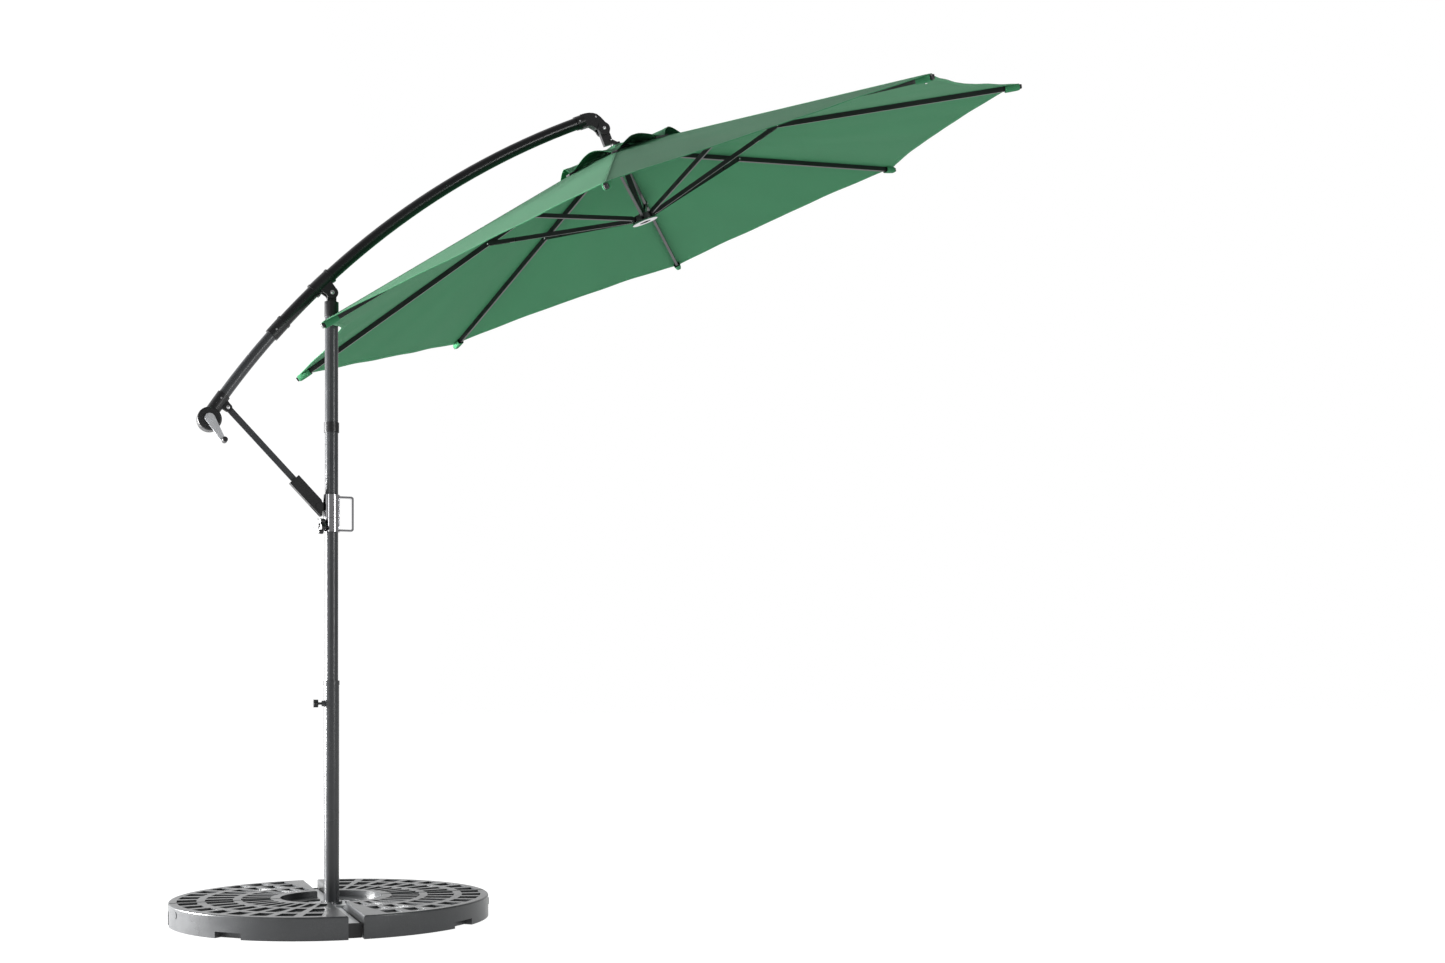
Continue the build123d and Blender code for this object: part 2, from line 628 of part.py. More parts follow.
def crown_hub():
    ring = notched_ring(-20, -1, -22, -1, 9.2, -HUB_PIN_DROP)
    ring += Pos(0, 0, -1) * Cylinder(46, 5, align=(Align.CENTER, Align.CENTER, Align.MIN))
    ring += Pos(0, 0, 4) * Cylinder(17, BOSS_TOP - 4, align=(Align.CENTER, Align.CENTER, Align.MIN))
    ring -= Pos(0, 0, -20) * Cylinder(4, 100)
    ring -= Pos(0, 0, -20) * Cylinder(10, 14, align=(Align.CENTER, Align.CENTER, Align.MIN))
    return CANOPY * Rot(0, 0, CANOPY_TURN) * ring


def runner_hub():
    """Sliding lower hub of the stays, with its bright ring below."""
    ring = notched_ring(RUNNER_Z - 12, RUNNER_Z + 9, RUNNER_Z - 9, RUNNER_Z + 10, 9.2, RUNNER_Z)
    ring -= Pos(0, 0, RUNNER_Z) * Cylinder(10.6, 60)
    band = Pos(0, 0, RUNNER_Z - 17) * extrude(Circle(45) - Circle(20), 5)
    place = CANOPY * Rot(0, 0, CANOPY_TURN)
    return Compound([place * ring, place * band])


def stem():
    """Short centre tube that guides the runner when the canopy is open."""
    low = RUNNER_Z + 2
    return CANOPY * Pos(0, 0, low) * extrude(Circle(10) - Circle(7), -6 - low)


def crown_link():
    """Link from the tilt pivot straight down to the crown's boss, with a slot for the cord."""
    x, z = TILT_PIVOT
    pivot = CANOPY.inverse() * Location((x, 0, z))
    left = pivot.position.X - LINK_WIDTH / 2
    right = pivot.position.X + LINK_WIDTH / 2
    corners = []
    for across_axis, along_axis in (
        (left, pivot.position.Z), (left, BOSS_TOP), (right + 16, BOSS_TOP),
        (right, BOSS_TOP + 14), (right, pivot.position.Z),
    ):
        corner = (CANOPY * Pos(across_axis, 0, along_axis)).position
        corners.append((corner.X, corner.Z))
    body = slab(corners, -8.6, 8.6) + across(x, z, LINK_WIDTH / 2, -8.6, 8.6)
    rivet_place = (CANOPY * Pos(right - 9, 0, BOSS_TOP + 16)).position
    body += across(rivet_place.X, rivet_place.Z, 3.2, -10, -8)
    body -= across(x, z, LINK_WIDTH / 2 + 1.5, -2.5, 2.5)
    return body - across(x, z, 4 + RUNNING_GAP, -20, 20)


def rib(k):
    """Channel rib open above, with its hinge tongue, and the cap on its tip."""
    wall = 1.2
    start = 17
    length = RIB_LENGTH - start
    channel = Pos(start + length / 2, 0, 0) * Box(length, RIB_WIDTH, RIB_DEPTH)
    channel -= Pos(start + length / 2 + 30, 0, wall) * Box(length, RIB_WIDTH - 2 * wall, RIB_DEPTH)
    tongue = Pos(10, 0, 0) * Box(20, 8, 11) + Rot(90, 0, 0) * Cylinder(5.5, 8)
    body = channel + tongue
    body -= Rot(90, 0, 0) * Cylinder(PIN_RADIUS + RUNNING_GAP, 20)
    body -= Pos(STAY_PIN_AT, 0, 0) * Rot(90, 0, 0) * Cylinder(PIN_RADIUS + RUNNING_GAP, 20)
    cap = Pos(RIB_LENGTH + 6, 0, 0) * Box(12, 12, 14)
    cap = fillet(cap.edges().group_by(Axis.X)[-1], 3)
    return Compound([rib_frame(k) * body, rib_frame(k) * cap])


def stay(k):
    """Stay from a rib to the runner: a fork over the rib, a bar and a tongue."""
    depth = 14
    fork_end = 78
    cheek = Pos(fork_end / 2, 7.2, 0) * Box(fork_end, 3, depth)
    cheek += Pos(0, 7.2, 0) * Rot(90, 0, 0) * Cylinder(depth / 2, 3)
    body = cheek + mirror(cheek, about=Plane.XZ)
    body += Rot(90, 0, 0) * Cylinder(PIN_RADIUS, 18)
    body += Pos(fork_end + 8, 0, 0) * Box(18, 17.4, depth)
    bar_length = STAY_PIN_AT - fork_end - 30
    bar_centre = fork_end + 12 + bar_length / 2
    body += Pos(bar_centre, 0, 0) * Box(bar_length, STAY_WIDTH, depth)
    body -= Pos(bar_centre, 0, -1.5) * Box(bar_length - 12, STAY_WIDTH - 3, depth)
    body += Pos(STAY_PIN_AT - 12, 0, 0) * Box(24, 8, 11)
    body += Pos(STAY_PIN_AT, 0, 0) * Rot(90, 0, 0) * Cylinder(5.5, 8)
    body -= Pos(STAY_PIN_AT, 0, 0) * Rot(90, 0, 0) * Cylinder(PIN_RADIUS + 0.4, 20)
    return stay_frame(k) * body


FABRIC_TOP = -HUB_PIN_DROP + HUB_PIN_RADIUS * math.tan(SLOPE) + (RIB_DEPTH / 2 + 1) / math.cos(SLOPE)
FABRIC_EDGE_GAP = 0.4
TIP_RADIUS = HUB_PIN_RADIUS + RIB_LENGTH * math.cos(SLOPE)


def half_sheet(apex, slope, side_slope, inner, rim):
    """Flat half of a panel on the +Y side of its rib, from three rim points in plan."""

    def lift(x, y):
        return Vector(x, y, apex - slope * x - side_slope * y)

    shift_x = FABRIC_EDGE_GAP * math.sin(HALF_GORE)
    shift_y = FABRIC_EDGE_GAP * math.cos(HALF_GORE)
    edge = [(rim[2][0] + shift_x, rim[2][1] - shift_y)]
    edge.append((inner + shift_x, inner * math.tan(HALF_GORE) - shift_y))
    outline = [
        Line(lift(inner, 0), lift(*rim[0])),
        ThreePointArc(lift(*rim[0]), lift(*rim[1]), lift(*edge[0])),
        Line(lift(*edge[0]), lift(*edge[1])),
        Line(lift(*edge[1]), lift(inner, 0)),
    ]
    face = Face(Wire(outline))
    return extrude(face, FABRIC_THICK, dir=(0, 0, 1))


def rim_points(radius, sag, bend=HEM_BEND):
    """Three points of a hem between two ribs, up to the gore's middle line."""
    points = []
    for part, share in ((0, 0), (0.25, bend), (0.5, 1)):
        x = radius * (1 - part + part * math.cos(2 * HALF_GORE))
        y = radius * part * math.sin(2 * HALF_GORE)
        inward = sag * share
        points.append((x - inward * math.cos(HALF_GORE), y - inward * math.sin(HALF_GORE)))
    return points


def hem_rim(gore):
    gore = gore % RIB_COUNT
    bend = HEM_BEND_AT_MAST if gore == MAST_GORE else HEM_BEND
    return rim_points(TIP_RADIUS, HEM_SAGS[gore], bend)


def panel(k):
    """Fabric over rib k up to the middle of the gores on both sides, and its part of the vent cap."""
    fall = math.tan(SLOPE)
    side_fall = fall * math.tan(HALF_GORE)
    left = half_sheet(FABRIC_TOP, fall, side_fall, FABRIC_INNER, hem_rim(k))
    right = half_sheet(FABRIC_TOP, fall, side_fall, FABRIC_INNER, hem_rim(k - 1))
    sheet = left + mirror(right, about=Plane.XZ)
    cap_apex = FABRIC_TOP + FABRIC_THICK + 7
    cap_fall = (cap_apex - (FABRIC_TOP + FABRIC_THICK + 2.5 - fall * CAP_RADIUS)) / CAP_RADIUS
    cap_rim = rim_points(CAP_RADIUS, 0.08 * CAP_RADIUS)
    middle_x, middle_y = cap_rim[2]
    middle_z = FABRIC_TOP - fall * math.hypot(middle_x, middle_y) / math.cos(HALF_GORE) + CAP_RISE
    cap_side_fall = (cap_apex - cap_fall * middle_x - middle_z) / middle_y
    half = half_sheet(cap_apex, cap_fall, cap_side_fall, CAP_INNER, cap_rim)
    flap = half + mirror(half, about=Plane.XZ)
    return Compound([rib_turn(k) * sheet, rib_turn(k) * flap])


save(cross_tubes(), "cross_tubes")
save(cross_end_caps(), "cross_end_caps")
save(centre_plate(), "centre_plate")
save(base_bolts(), "base_bolts")
save(mast_socket(), "mast_socket")
save(clamp_knob(), "clamp_knob")
build_weights()
save(mast_lower_tube(), "mast_lower_tube")
save(mast_upper_tube(), "mast_upper_tube")
save(mast_connector(), "mast_connector")
save(mast_head(), "mast_head")
save(collar_sleeve(), "collar_sleeve")
save(collar_handle(), "collar_handle")
save(collar_lug(), "collar_lug")
save(star_knob(), "star_knob")
save(strut_bar(), "strut_bar")
save(strut_socket(), "strut_socket")
save(arm_lower_tube(), "arm_lower_tube")
save(arm_upper_tube(), "arm_upper_tube")
save(arm_ferrule(), "arm_ferrule")
save(arm_saddle(), "arm_saddle")
save(winch_socket(), "winch_socket")
save(winch_housing(), "winch_housing")
save(winch_drum(), "winch_drum")
save(crank_arm(), "crank_arm")
save(crank_grip(), "crank_grip")
save(arm_elbow(), "arm_elbow")
save(arm_pins(), "arm_pins")
save(hoist_cord(), "hoist_cord")
save(crown_link(), "crown_link")
save(crown_hub(), "crown_hub")
save(stem(), "stem")
save(runner_hub(), "runner_hub")
for number in range(RIB_COUNT):
    save(rib(number), f"rib_{number + 1}")
    save(stay(number), f"stay_{number + 1}")
    save(panel(number), f"panel_{number + 1}")
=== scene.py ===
import json
import math

import bmesh
import bpy
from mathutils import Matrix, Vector, noise


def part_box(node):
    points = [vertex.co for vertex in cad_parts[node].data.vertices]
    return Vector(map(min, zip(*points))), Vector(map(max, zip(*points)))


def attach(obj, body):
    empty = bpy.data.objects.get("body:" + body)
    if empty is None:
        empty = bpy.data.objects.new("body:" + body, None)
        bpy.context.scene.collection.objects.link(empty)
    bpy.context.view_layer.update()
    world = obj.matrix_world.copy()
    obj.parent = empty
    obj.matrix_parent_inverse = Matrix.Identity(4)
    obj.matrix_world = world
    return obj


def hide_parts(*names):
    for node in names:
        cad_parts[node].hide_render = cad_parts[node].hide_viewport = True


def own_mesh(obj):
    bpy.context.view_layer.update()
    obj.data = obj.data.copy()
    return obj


bl_info = {
    "name": "Cantilever patio umbrella",
    "version": (1, 0, 0),
    "blender": (4, 5, 0),
    "location": "View3D > Sidebar > Umbrella",
    "description": "Cloth, finishes, small fittings and stage of a cantilever umbrella",
    "category": "Object",
}

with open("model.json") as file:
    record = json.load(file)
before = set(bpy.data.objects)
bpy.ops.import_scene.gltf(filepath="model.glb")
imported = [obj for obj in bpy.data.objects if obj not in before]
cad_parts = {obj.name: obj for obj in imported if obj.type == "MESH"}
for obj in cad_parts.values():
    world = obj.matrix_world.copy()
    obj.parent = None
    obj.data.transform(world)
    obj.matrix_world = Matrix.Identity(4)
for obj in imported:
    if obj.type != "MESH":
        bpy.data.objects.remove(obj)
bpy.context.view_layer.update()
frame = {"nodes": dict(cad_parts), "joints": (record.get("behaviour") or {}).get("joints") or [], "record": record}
NODES = frame["nodes"]
JOINTS = {joint["name"]: joint for joint in frame["joints"]}
RIBS = 8


# ---------------------------------------------------------------- places read from the frame


class RibPlace:
    """One rib: its hinge pin, and the directions out, across and up at the crown."""

    def __init__(self, number, up):
        hinge = JOINTS[f"rib_{number}_fold"]
        stay = JOINTS[f"stay_{number}_fold"]
        self.number = number
        self.pin = Vector(hinge["pos_m"])
        self.across = Vector(hinge["axis"]).normalized()
        self.up = up
        self.out = self.across.cross(up).normalized()
        self.stay_pin = Vector(stay["pos_m"])
        self.along = (self.stay_pin - self.pin).normalized()
        self.body = f"rib_{number}"

    def at(self, out, across, up):
        """Point from the crown: distances out along the rib in plan, across it, and up."""
        return CROWN + self.out * out + self.across * across + self.up * up


def canopy_places():
    """Crown point, the canopy's axis, slope of the ribs and the eight ribs."""
    pins = [Vector(JOINTS[f"rib_{n}_fold"]["pos_m"]) for n in range(1, RIBS + 1)]
    middle = sum(pins, Vector()) / RIBS
    first = (pins[0] - middle).normalized()
    up = first.cross(Vector(JOINTS["rib_1_fold"]["axis"])).normalized()
    along = Vector(JOINTS["stay_1_fold"]["pos_m"]) - pins[0]
    slope = math.asin(-along.normalized().dot(up))
    return middle, up, slope, (pins[0] - middle).length


PIN_MIDDLE, CANOPY_UP, RIB_SLOPE, PIN_REACH = canopy_places()
PIN_DROP = 0.008
CROWN = PIN_MIDDLE + CANOPY_UP * PIN_DROP
HALF_GORE = math.pi / RIBS
RIB_PLACES = [RibPlace(n, CANOPY_UP) for n in range(1, RIBS + 1)]
RIB_FALL = math.tan(RIB_SLOPE)
GORE_FALL = RIB_FALL * math.tan(HALF_GORE)
TIP_CAP_HALF = 0.012
CLOTH_OVER_PIN = 0.009


def rib_reach():
    """Distance from the canopy's axis to the middle of a rib's tip cap, in plan."""
    rib = RIB_PLACES[0]
    reach = max((v.co - CROWN).dot(rib.out) for v in NODES["rib_1"].data.vertices)
    return reach - TIP_CAP_HALF


TIP_REACH = rib_reach()
CLOTH_BASE = -PIN_DROP + PIN_REACH * RIB_FALL + CLOTH_OVER_PIN / math.cos(RIB_SLOPE)
CLOTH_INNER = 0.060
CAP_INNER = 0.024
CAP_HEM_SHARE = 0.05


# ---------------------------------------------------------------- sizes and colours


def number(name, description, default, unit="LENGTH"):
    """One number in the sidebar, a length in metres unless another unit is given."""
    return bpy.props.FloatProperty(
        name=name, description=description, default=default, unit=unit)


def paint(name, description, *shares):
    """One colour in the sidebar, from its shares of red, green and blue."""
    return bpy.props.FloatVectorProperty(
        name=name, description=description, size=4, subtype="COLOR", min=0, max=1,
        default=(*shares, 1))


class UmbrellaClothSettings(bpy.types.PropertyGroup):
    thickness: number("Cloth thickness", "Thickness of the canopy's cloth", 0.0012)
    sag: number("Gore sag", "How far the cloth dips between two ribs", 0.006)
    mast_hem: number("Hem curve at the mast", "Depth of the hem's curve round the mast", 0.124)
    hem_width: number("Hem width", "Width of the folded hem", 0.020)
    seam_width: number("Seam width", "Width of the felled seam over each rib", 0.011)
    stitch_pitch: number("Stitch pitch", "Distance from stitch to stitch", 0.0052)
    stitch_length: number("Stitch length", "Length of one stitch", 0.0036)
    cap_reach: number(
        "Vent cap reach", "Distance from the axis to the vent cap's low corners", 0.240)
    cap_rise: number(
        "Vent cap rise", "Height of the vent cap's arches over the canopy", 0.038)
    colour: paint("Cloth colour", "Colour of the woven cloth", 0.036, 0.172, 0.078)
    thread: paint("Thread colour", "Colour of the sewing thread", 0.07, 0.25, 0.13)


class UmbrellaFrameSettings(bpy.types.PropertyGroup):
    mast_colour: paint("Mast colour", "Powder coat of the mast", 0.040, 0.042, 0.045)
    arm_colour: paint("Arm colour", "Powder coat of the arm's upper tube", 0.006, 0.006, 0.007)
    rib_colour: paint("Rib colour", "Powder coat of the ribs and stays", 0.007, 0.007, 0.008)
    plastic_colour: paint("Fitting colour", "Moulded fittings", 0.007, 0.007, 0.008)
    weight_colour: paint("Weight colour", "Moulded base weights", 0.042, 0.044, 0.047)
    rivet_radius: number("Rivet radius", "Radius of a rivet's domed head", 0.0036)


class UmbrellaStageSettings(bpy.types.PropertyGroup):
    lens: number("Lens", "Focal length of the camera", 41.28, "CAMERA")
    key_power: number("Key light", "Power of the large light on the left", 1300.0, "POWER")
    fill_power: number(
        "Strip lights", "Power of each tall light beside the camera", 70.0, "POWER")
    sky: number("Sky", "Brightness of the soft light overhead and behind", 0.90, "NONE")
    floor_glow: number(
        "Floor glow", "Light that the white studio floor sends up", 1.15, "NONE")
    floor: paint("Floor colour", "Colour of the floor", 0.92, 0.92, 0.92)


# ---------------------------------------------------------------- shared node groups


def new_group(name, inputs, outputs, kind="ShaderNodeTree"):
    """Empty node group with named sockets, and its two end nodes."""
    group = bpy.data.node_groups.new(name, kind)
    for label, socket_type, value in inputs:
        socket = group.interface.new_socket(label, in_out="INPUT", socket_type=socket_type)
        if value is not None:
            socket.default_value = value
    for label, socket_type in outputs:
        group.interface.new_socket(label, in_out="OUTPUT", socket_type=socket_type)
    return group, group.nodes.new("NodeGroupInput"), group.nodes.new("NodeGroupOutput")


def wire(tree, *links):
    """Links sockets, each link given as node, output, node, input."""
    for start, out, end, into in links:
        tree.links.new(start.outputs[out], end.inputs[into])


def maths(tree, operation, first, second=None, clamp=False):
    """Math node with its inputs linked or set."""
    node = tree.nodes.new("ShaderNodeMath")
    node.operation = operation
    node.use_clamp = clamp
    for slot, value in enumerate((first, second)):
        if value is None:
            continue
        if isinstance(value, (int, float)):
            node.inputs[slot].default_value = value
        else:
            tree.links.new(value, node.inputs[slot])
    return node.outputs[0]


def noise_of(tree, coordinates, scale, detail, roughness=0.55):
    """Noise over the given coordinates, its scale a number or a socket."""
    node = tree.nodes.new("ShaderNodeTexNoise")
    node.inputs["Detail"].default_value = detail
    node.inputs["Roughness"].default_value = roughness
    tree.links.new(coordinates, node.inputs["Vector"])
    if isinstance(scale, (int, float)):
        node.inputs["Scale"].default_value = scale
    else:
        tree.links.new(scale, node.inputs["Scale"])
    return node.outputs["Fac"]


def stretch(tree, coordinates, scale):
    node = tree.nodes.new("ShaderNodeMapping")
    node.inputs["Scale"].default_value = scale
    tree.links.new(coordinates, node.inputs["Vector"])
    return node.outputs["Vector"]


def spread(tree, value, low, high):
    """Value stretched so that low becomes 0 and high becomes 1, and held there."""
    node = tree.nodes.new("ShaderNodeMapRange")
    node.inputs["From Min"].default_value = low
    node.inputs["From Max"].default_value = high
    tree.links.new(value, node.inputs["Value"])
    return node.outputs["Result"]


def weave_group():
    """Plain weave: height of the yarns, and a value that changes from yarn to yarn."""
    group, start, end = new_group(
        "Woven cloth",
        [("Coordinates", "NodeSocketVector", None), ("Yarns per metre", "NodeSocketFloat", 900.0),
         ("Fold marks", "NodeSocketFloat", 0.5)],
        [("Height", "NodeSocketFloat"), ("Yarn", "NodeSocketFloat"), ("Cloud", "NodeSocketFloat")],
    )
    place = start.outputs["Coordinates"]
    parts = group.nodes.new("ShaderNodeSeparateXYZ")
    group.links.new(place, parts.inputs[0])
    turns = maths(group, "MULTIPLY", start.outputs["Yarns per metre"], math.pi)
    across = maths(group, "MULTIPLY", parts.outputs[0], turns)
    along = maths(group, "MULTIPLY", parts.outputs[1], turns)
    warp = maths(group, "ABSOLUTE", maths(group, "SINE", across))
    weft = maths(group, "ABSOLUTE", maths(group, "SINE", along))
    over = maths(group, "MULTIPLY", maths(group, "SINE", across), maths(group, "SINE", along))
    lift = maths(group, "MULTIPLY", over, 0.5)
    yarns = maths(group, "ADD", maths(group, "MULTIPLY", warp, weft), lift)
    long_yarn = noise_of(group, stretch(group, place, (260, 6, 1)), 1.0, 2.0)
    cross_yarn = noise_of(group, stretch(group, place, (6, 260, 1)), 1.0, 2.0)
    yarn = maths(group, "MULTIPLY", maths(group, "ADD", long_yarn, cross_yarn), 0.5)
    fold = noise_of(group, stretch(group, place, (2.2, 1.1, 1)), 1.6, 5.0, 0.6)
    cloud = spread(group, fold, 0.3, 0.7)
    ridge = maths(group, "ABSOLUTE", maths(group, "SUBTRACT", fold, 0.5))
    crease = maths(group, "SUBTRACT", 1.0, spread(group, ridge, 0.0, 0.03))
    marks = maths(group, "MULTIPLY", crease, start.outputs["Fold marks"])
    height = maths(group, "ADD", maths(group, "MULTIPLY", yarns, 0.35), marks)
    group.links.new(height, end.inputs["Height"])
    group.links.new(yarn, end.inputs["Yarn"])
    group.links.new(cloud, end.inputs["Cloud"])
    return group


def grain_group():
    """Fine all-over grain of a moulding or a powder coat, with broader unevenness."""
    group, start, end = new_group(
        "Grain",
        [("Coordinates", "NodeSocketVector", None), ("Fineness", "NodeSocketFloat", 1800.0)],
        [("Height", "NodeSocketFloat"), ("Cloud", "NodeSocketFloat")],
    )
    place = start.outputs["Coordinates"]
    fine = noise_of(group, place, start.outputs["Fineness"], 3.0, 0.6)
    broad = noise_of(group, place, 7.0, 4.0, 0.6)
    group.links.new(fine, end.inputs["Height"])
    group.links.new(spread(group, broad, 0.3, 0.7), end.inputs["Cloud"])
    return group


def scuff_group():
    """Sparse fine scratches and dusty patches."""
    group, start, end = new_group(
        "Scuffs and dust",
        [("Coordinates", "NodeSocketVector", None), ("Scratches", "NodeSocketFloat", 0.5),
         ("Dust", "NodeSocketFloat", 0.5)],
        [("Scratch", "NodeSocketFloat"), ("Dust", "NodeSocketFloat")],
    )
    place = start.outputs["Coordinates"]
    lines = noise_of(group, stretch(group, place, (35, 35, 420)), 1.0, 2.0, 0.5)
    level = noise_of(group, stretch(group, place, (420, 60, 30)), 1.0, 2.0, 0.5)
    thin = maths(group, "MULTIPLY", spread(group, lines, 0.64, 0.72), 0.6)
    thin = maths(group, "MAXIMUM", thin, spread(group, level, 0.66, 0.74))
    patch = noise_of(group, place, 11.0, 3.0, 0.6)
    scratch = maths(group, "MULTIPLY", thin, spread(group, patch, 0.42, 0.62))
    scratch = maths(group, "MULTIPLY", scratch, start.outputs["Scratches"])
    speck = noise_of(group, place, 320.0, 4.0, 0.7)
    dust = spread(group, patch, 0.35, 0.7)
    dust = maths(group, "MULTIPLY", spread(group, speck, 0.45, 0.75), dust)
    dust = maths(group, "MULTIPLY", dust, start.outputs["Dust"])
    group.links.new(scratch, end.inputs["Scratch"])
    group.links.new(dust, end.inputs["Dust"])
    return group


# ---------------------------------------------------------------- materials


def blank_material(name):
    """Material with a Principled shader, and its tree."""
    material = bpy.data.materials.new(name)
    material.use_nodes = True
    tree = material.node_tree
    return material, tree, tree.nodes["Principled BSDF"]


def place_group(tree, group, coordinates, **values):
    node = tree.nodes.new("ShaderNodeGroup")
    node.node_tree = group
    tree.links.new(coordinates, node.inputs["Coordinates"])
    for label, value in values.items():
        node.inputs[label.replace("_", " ")].default_value = value
    return node


def mixed(tree, factor, first, second):
    """Colour between two colours or sockets."""
    node = tree.nodes.new("ShaderNodeMix")
    node.data_type = "RGBA"
    tree.links.new(factor, node.inputs[0])
    for socket, value in ((node.inputs[6], first), (node.inputs[7], second)):
        if isinstance(value, bpy.types.NodeSocket):
            tree.links.new(value, socket)
        else:
            socket.default_value = value
    return node.outputs[2]


def shade(colour, factor):
    return tuple(min(1.0, part * factor) for part in colour[:3]) + (1.0,)


def bump(tree, shader, height, strength, distance):
    node = tree.nodes.new("ShaderNodeBump")
    node.inputs["Strength"].default_value = strength
    node.inputs["Distance"].default_value = distance
    tree.links.new(height, node.inputs["Height"])
    tree.links.new(node.outputs["Normal"], shader.inputs["Normal"])


def between(tree, value, low, high):
    node = tree.nodes.new("ShaderNodeMapRange")
    node.inputs["To Min"].default_value = low
    node.inputs["To Max"].default_value = high
    tree.links.new(value, node.inputs["Value"])
    return node.outputs["Result"]


def cloth_material(name, colour, group, fold_marks=0.25, sheen=0.04):
    """Woven polyester, read on the piece's own flat pattern."""
    material, tree, shader = blank_material(name)
    flat = tree.nodes.new("ShaderNodeUVMap")
    flat.uv_map = "Flat"
    weave = place_group(tree, group, flat.outputs["UV"], Fold_marks=fold_marks)
    base = mixed(tree, weave.outputs["Cloud"], shade(colour, 0.90), shade(colour, 1.08))
    threads = mixed(tree, weave.outputs["Yarn"], shade(colour, 0.78), shade(colour, 1.22))
    both = tree.nodes.new("ShaderNodeMix")
    both.data_type = "RGBA"
    both.inputs[0].default_value = 0.45
    tree.links.new(base, both.inputs[6])
    tree.links.new(threads, both.inputs[7])
    tree.links.new(both.outputs[2], shader.inputs["Base Color"])
    tree.links.new(between(tree, weave.outputs["Yarn"], 0.58, 0.80), shader.inputs["Roughness"])
    bump(tree, shader, weave.outputs["Height"], 0.35, 0.0006)
    for label, value in (("Specular IOR Level", 0.10), ("Sheen Weight", sheen),
                         ("Sheen Roughness", 0.4), ("Sheen Tint", (0.75, 1.0, 0.85, 1.0))):
        shader.inputs[label].default_value = value
    return material


def coated_material(name, colour, grain, scuffs, roughness, fineness=2600.0, dust=0.25,
                    strength=0.12, metallic=0.0, scratches=0.35, bright=2.6):
    """Powder coat, moulded plastic or plain metal: grain, unevenness, scratches and dust."""
    material, tree, shader = blank_material(name)
    place = tree.nodes.new("ShaderNodeTexCoord").outputs["Object"]
    fine = place_group(tree, grain, place, Fineness=fineness)
    worn = place_group(tree, scuffs, place, Scratches=scratches, Dust=dust)
    base = mixed(tree, fine.outputs["Cloud"], shade(colour, 0.86), shade(colour, 1.16))
    marked = mixed(tree, worn.outputs["Scratch"], base, shade(colour, bright))
    dusty = mixed(tree, worn.outputs["Dust"], marked, (0.30, 0.29, 0.27, 1))
    tree.links.new(dusty, shader.inputs["Base Color"])
    rough = between(tree, fine.outputs["Cloud"], roughness * 0.86, roughness * 1.16)
    rough = maths(tree, "ADD", rough, maths(tree, "MULTIPLY", worn.outputs["Dust"], 0.25), True)
    tree.links.new(rough, shader.inputs["Roughness"])
    bump(tree, shader, fine.outputs["Height"], strength, 0.0002)
    shader.inputs["Metallic"].default_value = metallic
    return material


MATERIALS = {}


def build_materials(scene):
    """All finishes, by the name of the record's material slot where there is one."""
    cloth = scene.umbrella_cloth
    metal = scene.umbrella_frame
    weave = weave_group()
    grain = grain_group()
    scuffs = scuff_group()
    MATERIALS["canopy_green"] = cloth_material("Green woven cloth", cloth.colour, weave)
    MATERIALS["hem_green"] = cloth_material(
        "Green hem", shade(cloth.colour, 1.12), weave, 0.1, 0.06)
    # slot, name, colour, then roughness, fineness, dust and strength of the grain
    for slot, name, colour, values, others in (
        ("thread", "Sewing thread", cloth.thread, (0.7, 5000.0, 0.1, 0.3), {"bright": 1.2}),
        ("mast_grey", "Mast powder coat", metal.mast_colour, (0.26, 3200.0, 0.0, 0.02),
         {"scratches": 0.06}),
        ("arm_black", "Arm powder coat", metal.arm_colour, (0.27, 3200.0, 0.02, 0.03), {}),
        ("rib_black", "Rib powder coat", metal.rib_colour, (0.32, 3000.0, 0.02, 0.04), {}),
        ("black_plastic", "Black moulding", metal.plastic_colour, (0.36, 1500.0, 0.03, 0.12), {}),
        ("weight_plastic", "Weight moulding", metal.weight_colour, (0.30, 900.0, 0.10, 0.14),
         {"scratches": 0.6, "bright": 1.8}),
        ("chrome", "Chrome", (0.58, 0.58, 0.60, 1), (0.07, 3000.0, 0.01, 0.002),
         {"metallic": 1.0, "bright": 0.8}),
        ("bright_steel", "Zinc-plated steel", (0.50, 0.51, 0.52, 1), (0.38, 700.0, 0.2, 0.05),
         {"metallic": 1.0, "bright": 1.2}),
        ("crank_silver", "Cast crank", (0.62, 0.63, 0.65, 1), (0.34, 1600.0, 0.05, 0.12),
         {"metallic": 0.85, "bright": 1.2}),
        ("pin_steel", "Turned steel", (0.72, 0.72, 0.73, 1), (0.24, 2500.0, 0.05, 0.03),
         {"metallic": 1.0, "bright": 1.1}),
        ("cord_black", "Braided cord", (0.02, 0.02, 0.022, 1), (0.7, 2200.0, 0.1, 0.5), {}),
        ("mould_grey", "Grey moulding", (0.16, 0.16, 0.17, 1), (0.40, 1500.0, 0.1, 0.2), {}),
    ):
        MATERIALS[slot] = coated_material(name, colour, grain, scuffs, *values, **others)
    return MATERIALS


# ---------------------------------------------------------------- mesh helpers


SHARP_ANGLE = math.radians(40)
DOUBLES = 1e-6


def new_object(name, mesh):
    """Object at the origin, in the scene."""
    piece = bpy.data.objects.new(name, mesh)
    bpy.context.scene.collection.objects.link(piece)
    return piece


def new_piece(name, points, faces, material, smooth=True):
    """Mesh object from points in the row frame."""
    mesh = bpy.data.meshes.new(name)
    mesh.from_pydata([tuple(p) for p in points], [], faces)
    mesh.update()
    mesh.polygons.foreach_set("use_smooth", [smooth] * len(mesh.polygons))
    mesh.materials.append(MATERIALS[material])
    return new_object(name, mesh)


def finish_piece(piece, body):
    """Keeps the sharp edges sharp, and sets what the piece rides on."""
    piece.data.set_sharp_from_angle(angle=SHARP_ANGLE)
    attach(piece, body)


